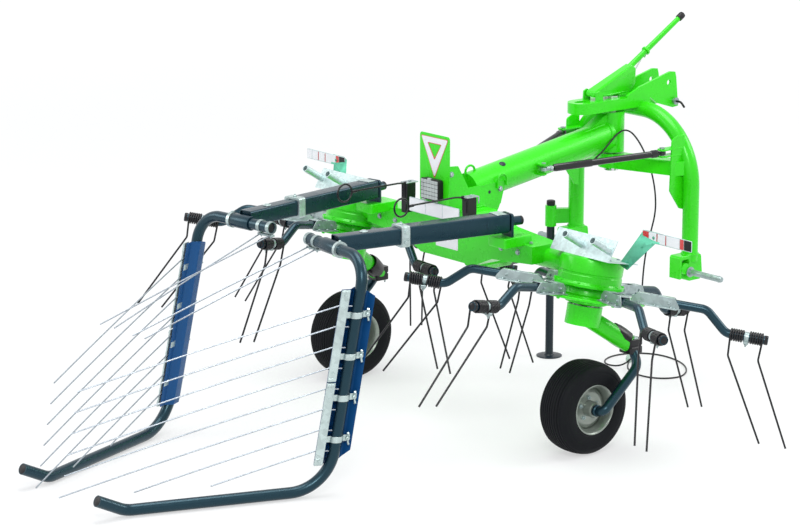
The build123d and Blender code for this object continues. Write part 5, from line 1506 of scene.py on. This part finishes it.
def dampers():
    """Black barrels and covers, with bright rods, eyes and pins."""
    front, rear = DAMPER_FRONT, DAMPER_REAR
    line = (rear - front).normalized()
    tail = (rear - front).length - 0.044
    grid = place(front, line, UP)
    barrel, cover, rod, pin = Draft(), Draft(), Draft(), Draft()
    barrel.turned([
        (0, 0.020), (0.0150, 0.020), (0.0180, 0.026), (0.0180, 0.050), (0.0160, 0.053),
        (0.0150, 0.056), (0.0150, 0.428), (0.0135, 0.436), (0.0094, 0.436), (0.0094, 0.426),
        (0, 0.426),
    ], grid)
    barrel.settle_pair("damper_tube", "{side}_barrel", DAMPER_BLACK, "{side}_damper_barrel")
    cover.turned([
        (0.0156, 0.335), (0.0172, 0.335), (0.0176, 0.337), (0.0176, tail - 0.014),
        (0.0165, tail - 0.004), (0.0120, tail), (0.0090, tail), (0.0090, tail - 0.006),
        (0.0156, tail - 0.010),
    ], grid)
    cover.settle_pair("damper_dust_cover", "{side}_rod", DAMPER_BLACK)
    for name, body, finish, spot, bore, way, reach in (
        ("damper_front_eye", "{side}_barrel", DAMPER_BLACK, front, 0.0081, line, 0.046),
        ("damper_rear_eye", "{side}_rod", ZINC, rear, 0.0122, -line, 0.040),
    ):
        eye = Draft()
        eye.turned([
            (bore, -0.0072), (0.0160, -0.0072), (0.0170, -0.0060), (0.0170, 0.0060),
            (0.0160, 0.0072), (bore, 0.0072),
        ], place(spot, UP), 32)
        eye.tube([spot + way * 0.0145, spot + way * reach], 0.0095, 20)
        if finish == ZINC:
            nut = [(0, 0.030), (0.0135, 0.030), (0.0135, 0.040), (0, 0.040)]
            eye.lathe(nut, place(spot, way), 6)
        eye.settle_pair(name, body, finish)
    rod.tube([front + line * 0.302, rear - line * 0.036], 0.0089, 28)
    rod.settle_pair("damper_piston_rod", "{side}_rod", CHROME, "{side}_damper_rod")
    pin.turned([
        (0, -0.0285), (0.0048, -0.0285), (0.0048, 0.0258), (0.0105, 0.0260), (0.0105, 0.0290),
        (0, 0.0295),
    ], place(rear, UP), 20)
    pin.bolt(rear - UP * 0.0256, -UP, 0.0065)
    pin.settle_pair("damper_rear_pin", "frame", ZINC)


class RAKE_OT_headstock(bpy.types.Operator):
    """Arch, hitch blocks, brace, mast bracket, lever, stand and dampers"""

    bl_idname = "rake.headstock"
    bl_label = "Headstock"

    def execute(self, context):
        dress(GREEN, "lower_brace", "mast_bracket")
        dress(STEEL, "swivel_pin")
        arch(context.scene.rake_sizes.weld_bead)
        link_pins()
        top_link_pin()
        lever()
        lever_chain()
        stand()
        dampers()
        return {"FINISHED"}


# ------------------------------------------------------------------ swath formers
def carrier(weld):
    """A square sleeve on the pivot, a sliding carrier and the cross socket."""
    grid = carrier_grid()
    draft = Draft()
    half = 0.0345
    draft.plate(square(0.040), 0.0, 0.116, grid, [circle(0.0203, 32)], 0.001)
    draft.plate(square(0.040), 0.112, 0.490, grid, [square(half)], 0.001)
    draft.plate(square(half), 0.400, 0.826, grid, [square(0.0305)], 0.001)
    draft.plate(square(0.0320), 0.812, 0.818, grid, edge=0.0005)
    bore = GUARD_R + 0.0003
    draft.turned([
        (bore, 0), (0.0305, 0), (0.0310, 0.002), (0.0310, 0.108), (0.0305, 0.110), (bore, 0.110),
    ], place(TUBE_TOP + TOP_RUN * 0.118, TOP_RUN, UP))
    for edge in (-half, half):
        for line in (((edge, -half), (edge, half)), ((-half, edge), (half, edge))):
            draft.weld([grid @ Vector((x, y, 0.4915)) for x, y in line], weld * 0.7)
    draft.settle_pair("carrier_beam", "{side}_former", BLUE, "{side}_swath_beam")


def carrier_clamp(large, small):
    """The clamp on the sliding carrier, the stop on the guard tube and the pivot's end cap."""
    grid = carrier_grid()
    turn = grid.to_3x3()
    clamp, cap = Draft(), Draft()
    band = card(-0.0455, 0.0455, -0.0455, 0.0455, 0.011, 5)
    clamp.plate(band, 0.4925, 0.5320, grid, [square(0.0348)], 0.001)
    for height in (-0.022, 0.022):
        clamp.bolt(grid @ Vector((0.0455, height, 0.512)), turn @ RIGHT, large * 0.85)
    clamp.bolt(grid @ Vector((0, 0.0455, 0.512)), UP, large * 0.8, 0.004)
    top = axes(grid @ Vector((0, 0.0348, 0)), turn @ RIGHT, turn @ UP, UP)
    clamp.plate(circle(0.0185, 28, (0, 0.690)), 0.0, 0.003, top)
    knob = [(0, 0.003), (0.0110, 0.003), (0.0100, 0.007), (0, 0.008)]
    clamp.turned(knob, top @ Matrix.Translation((0, 0.690, 0)), 24)
    clamp.plate(card(-0.034, 0.034, 0.012, 0.060, 0.004, 3), 0.0052, 0.0082, top)
    stop = place(TUBE_TOP + TOP_RUN * 0.231, TOP_RUN, UP)
    clamp.sleeve(GUARD_R + 0.0003, 0.0345, 0, 0.016, stop, 36)
    clamp.bolt(stop @ Vector((0.0345, 0, 0.008)), stop.to_3x3() @ RIGHT, small * 0.8)
    clamp.settle_pair("carrier_clamp", "{side}_former", BRIGHT_ZINC)
    dome = [(0, 0), (0.0195, 0), (0.0195, 0.010), (0.0150, 0.014), (0, 0.014)]
    cap.turned(dome, place(grid @ Vector((0, 0, -0.072)), turn @ -UP), 28)
    cap.settle_pair("pivot_end_cap", "frame", PLASTIC)


def guard_tube():
    """One bent tube from the carrier down to the ground and back along it."""
    draft, caps = Draft(), Draft()
    line = [TUBE_TOP, TUBE_SHOULDER, TUBE_HEEL, TUBE_TOE, TUBE_TIP]
    draft.tube(route(line, [0.120, 0.200, 0.110], radians(5)), GUARD_R, 32)
    draft.settle_pair("guard_tube", "{side}_former", BLUE, "{side}_swath_tube")
    for spot, way in ((TUBE_TOP, -TOP_RUN), (TUBE_TIP, (TUBE_TIP - TUBE_TOE).normalized())):
        caps.turned([
            (0, -0.004), (0.0215, -0.004), (0.0215, 0.0), (0.0238, 0.0), (0.0238, 0.0035),
            (0.0205, 0.0055), (0, 0.0060),
        ], place(spot - way * 0.0055, way), 28)
    caps.settle_pair("guard_tube_caps", "{side}_former", PLASTIC)


def board():
    """A folded sheet round the drop, and the galvanised strip that holds the rods."""
    sheet, strip = Draft(), Draft()
    fold = [
        (-0.080, 0.005), (-0.042, 0.005), (-0.022, -0.028), (0.024, -0.028), (0.040, -0.022),
        (0.066, 0.003),
    ]
    back = [(ahead, out - 0.003) for ahead, out in reversed(fold)]
    outline = rounded(fold + back, [0, 0.006, 0.008, 0.008, 0.006, 0] * 2)
    sheet.plate(outline, 0.118, 0.829, DROP_GRID, edge=0.0004)
    for point in sheet.points:
        below = TUBE_SHOULDER.z - point.z
        beyond = (point - at_drop(below, 0, 0)).dot(TOE_AHEAD) - 0.022
        if beyond > 0 and below > 0.8:
            point -= DROP * (beyond * 1.15)
        elif beyond > 0 and below < 0.13:
            point += DROP * (0.010 + beyond * 0.55)
    sheet.settle_pair("former_board", "{side}_former", BOARD_BLUE, "{side}_swath_board")
    for top, low in ((0.118, 0.489), (0.494, 0.829)):
        strip.plate(card(-0.082, -0.046, 0.014, 0.021, 0.001, 2), top, low, DROP_GRID, edge=0.001)
    for top, low in ((0.122, 0.158), (0.474, 0.485), (0.498, 0.509), (0.800, 0.825)):
        strip.plate(card(-0.0805, -0.0475, 0.0205, 0.0240, 0.0012, 2), top, low, DROP_GRID)
    for below, out in ((0.140, 0.0240), (0.455, 0.0215), (0.812, 0.0240)):
        strip.bolt(at_drop(below, -0.064, out), OUTBOARD, 0.0062)
    strip.settle_pair("rod_strip", "{side}_former", BRIGHT_ZINC, "{side}_swath_strip")


def hook_bolts():
    """Hooks round the drop, whose wing nuts clamp the board."""
    hook = Draft()
    for gap in (0.5, 2.5, 4.5, 6.5):
        below = FIRST_ROD + gap * ROD_PITCH
        span = (below - 0.0125, below + 0.0125, DROP_GRID)
        inner, outer = (
            around((0, 0), (0, radius), (radius, 0), 16, radians(195), radians(-100))
            for radius in (0.0245, 0.0272)
        )
        for outline in (
            inner + outer[::-1], card(-0.079, -0.024, 0.0010, 0.0040, 0.001, 3),
            card(0.024, 0.056, -0.0030, 0.0000, 0.001, 3),
        ):
            hook.plate(outline, *span, edge=0.0006)
        hook.tube([at_drop(below, 0.046, -0.024), at_drop(below, 0.046, 0.022)], 0.0040, 12)
        nut = place(at_drop(below, 0.046, 0.0005), OUTBOARD, UP)
        hook.turned([(0.0038, 0), (0.0100, 0), (0.0080, 0.010), (0.0038, 0.012)], nut, 18)
        for way in (-1, 1):
            wing = ((0.005, 0.004), (0.014, 0.009), (0.025, 0.017))
            line = [nut @ Vector((way * out, 0, rise)) for out, rise in wing]
            hook.tube(line, 0.0034, 10, [1.0, 1.2, 1.45])
    hook.settle_pair("hook_bolts", "{side}_former", BRIGHT_ZINC)


def swath_rods(bolt):
    """Thin rods that hold the swath, in the strip and on the top run."""
    rods, clip = Draft(), Draft()
    fall = -(TOE_AHEAD * cos(ROD_DROOP) + UP * sin(ROD_DROOP))
    for number, reach in enumerate(ROD_REACHES):
        below = FIRST_ROD + number * ROD_PITCH
        line = [
            at_drop(below + down, ahead, 0.0105)
            for down, ahead in ((0.004, -0.027), (0.002, -0.060), (0, -0.082))
        ]
        bend = line[-1]
        sag = 0.020 * (reach / 1.1) ** 2
        for share in [step / 8 for step in range(1, 9)]:
            line.append(bend + fall * (reach * share) + UP * (sag * share * (1 - share)))
        rods.tube(line, ROD_WIRE_R, 10)
    for along, tip in ((0.0, (0.117, -1.450, 0.689)), (0.059, (0.109, -1.387, 0.664))):
        start = TUBE_TOP + TOP_RUN * along - UP * (GUARD_R + 0.007)
        middle = start.lerp(Vector(tip), 0.5) + UP * 0.004
        rods.tube([start + Vector((0, 0.010, 0.002)), start, middle, tip], ROD_WIRE_R, 10)
    under = TUBE_TOP + TOP_RUN * 0.028 - UP * (GUARD_R + 0.008)
    grid = axes(under, TOP_RUN, UP.cross(TOP_RUN), UP)
    clip.plate(card(-0.042, 0.047, -0.011, 0.011, 0.004, 3), -0.006, 0.002, grid, edge=0.001)
    for along in (-0.028, 0.031):
        ring = place(TUBE_TOP + TOP_RUN * (along + 0.019), TOP_RUN, UP)
        clip.sleeve(GUARD_R + 0.0002, GUARD_R + 0.0032, 0, 0.018, ring, 32)
        clip.bolt(grid @ Vector((along, 0, -0.006)), -UP, bolt * 0.8, 0.003)
    rods.settle_pair("swath_rods", "{side}_former", WIRE, "{side}_windrow_rods")
    clip.settle_pair("rod_clip", "{side}_former", ZINC)


class RAKE_OT_swath_formers(bpy.types.Operator):
    """Carrier beams, guard tubes, boards, strips and rods of both swath formers"""

    bl_idname = "rake.swath_formers"
    bl_label = "Swath formers"

    def execute(self, context):
        sizes = context.scene.rake_sizes
        carrier(sizes.weld_bead)
        carrier_clamp(sizes.frame_bolt, sizes.small_bolt)
        guard_tube()
        board()
        hook_bolts()
        swath_rods(sizes.small_bolt)
        return {"FINISHED"}


# ------------------------------------------------------------------ panel and registration
class RAKE_PT_pieces(bpy.types.Panel):
    """The pieces of the hay rake, and the sizes and colours of their detail"""

    bl_idname = "RAKE_PT_pieces"
    bl_label = "Hay rake"
    bl_space_type = "VIEW_3D"
    bl_region_type = "UI"
    bl_category = "Hay rake"

    def draw(self, context):
        layout = self.layout
        for group in (context.scene.rake_sizes, context.scene.rake_colours):
            box = layout.box()
            for name in group.__annotations__:
                box.prop(group, name)
        for step in STEPS:
            layout.operator(step.bl_idname)


STEPS = (
    RAKE_OT_stage,
    RAKE_OT_lighting_cable,
    RAKE_OT_rotors,
    RAKE_OT_rotor_housings,
    RAKE_OT_wheels,
    RAKE_OT_frame,
    RAKE_OT_signs,
    RAKE_OT_headstock,
    RAKE_OT_swath_formers,
)
CLASSES = (RakeSizes, RakeColours, *STEPS, RAKE_PT_pieces)


def register():
    """Adds the classes and the settings to Blender."""
    for item in CLASSES:
        bpy.utils.register_class(item)
    bpy.types.Scene.rake_sizes = bpy.props.PointerProperty(type=RakeSizes)
    bpy.types.Scene.rake_colours = bpy.props.PointerProperty(type=RakeColours)


def unregister():
    """Takes them away again."""
    del bpy.types.Scene.rake_colours
    del bpy.types.Scene.rake_sizes
    for item in reversed(CLASSES):
        bpy.utils.unregister_class(item)


def main():
    """Builds everything."""
    register()
    for step in STEPS:
        group, name = step.bl_idname.split(".")
        getattr(getattr(bpy.ops, group), name)()
    bpy.context.view_layer.update()


if __name__ == "__main__":
    main()
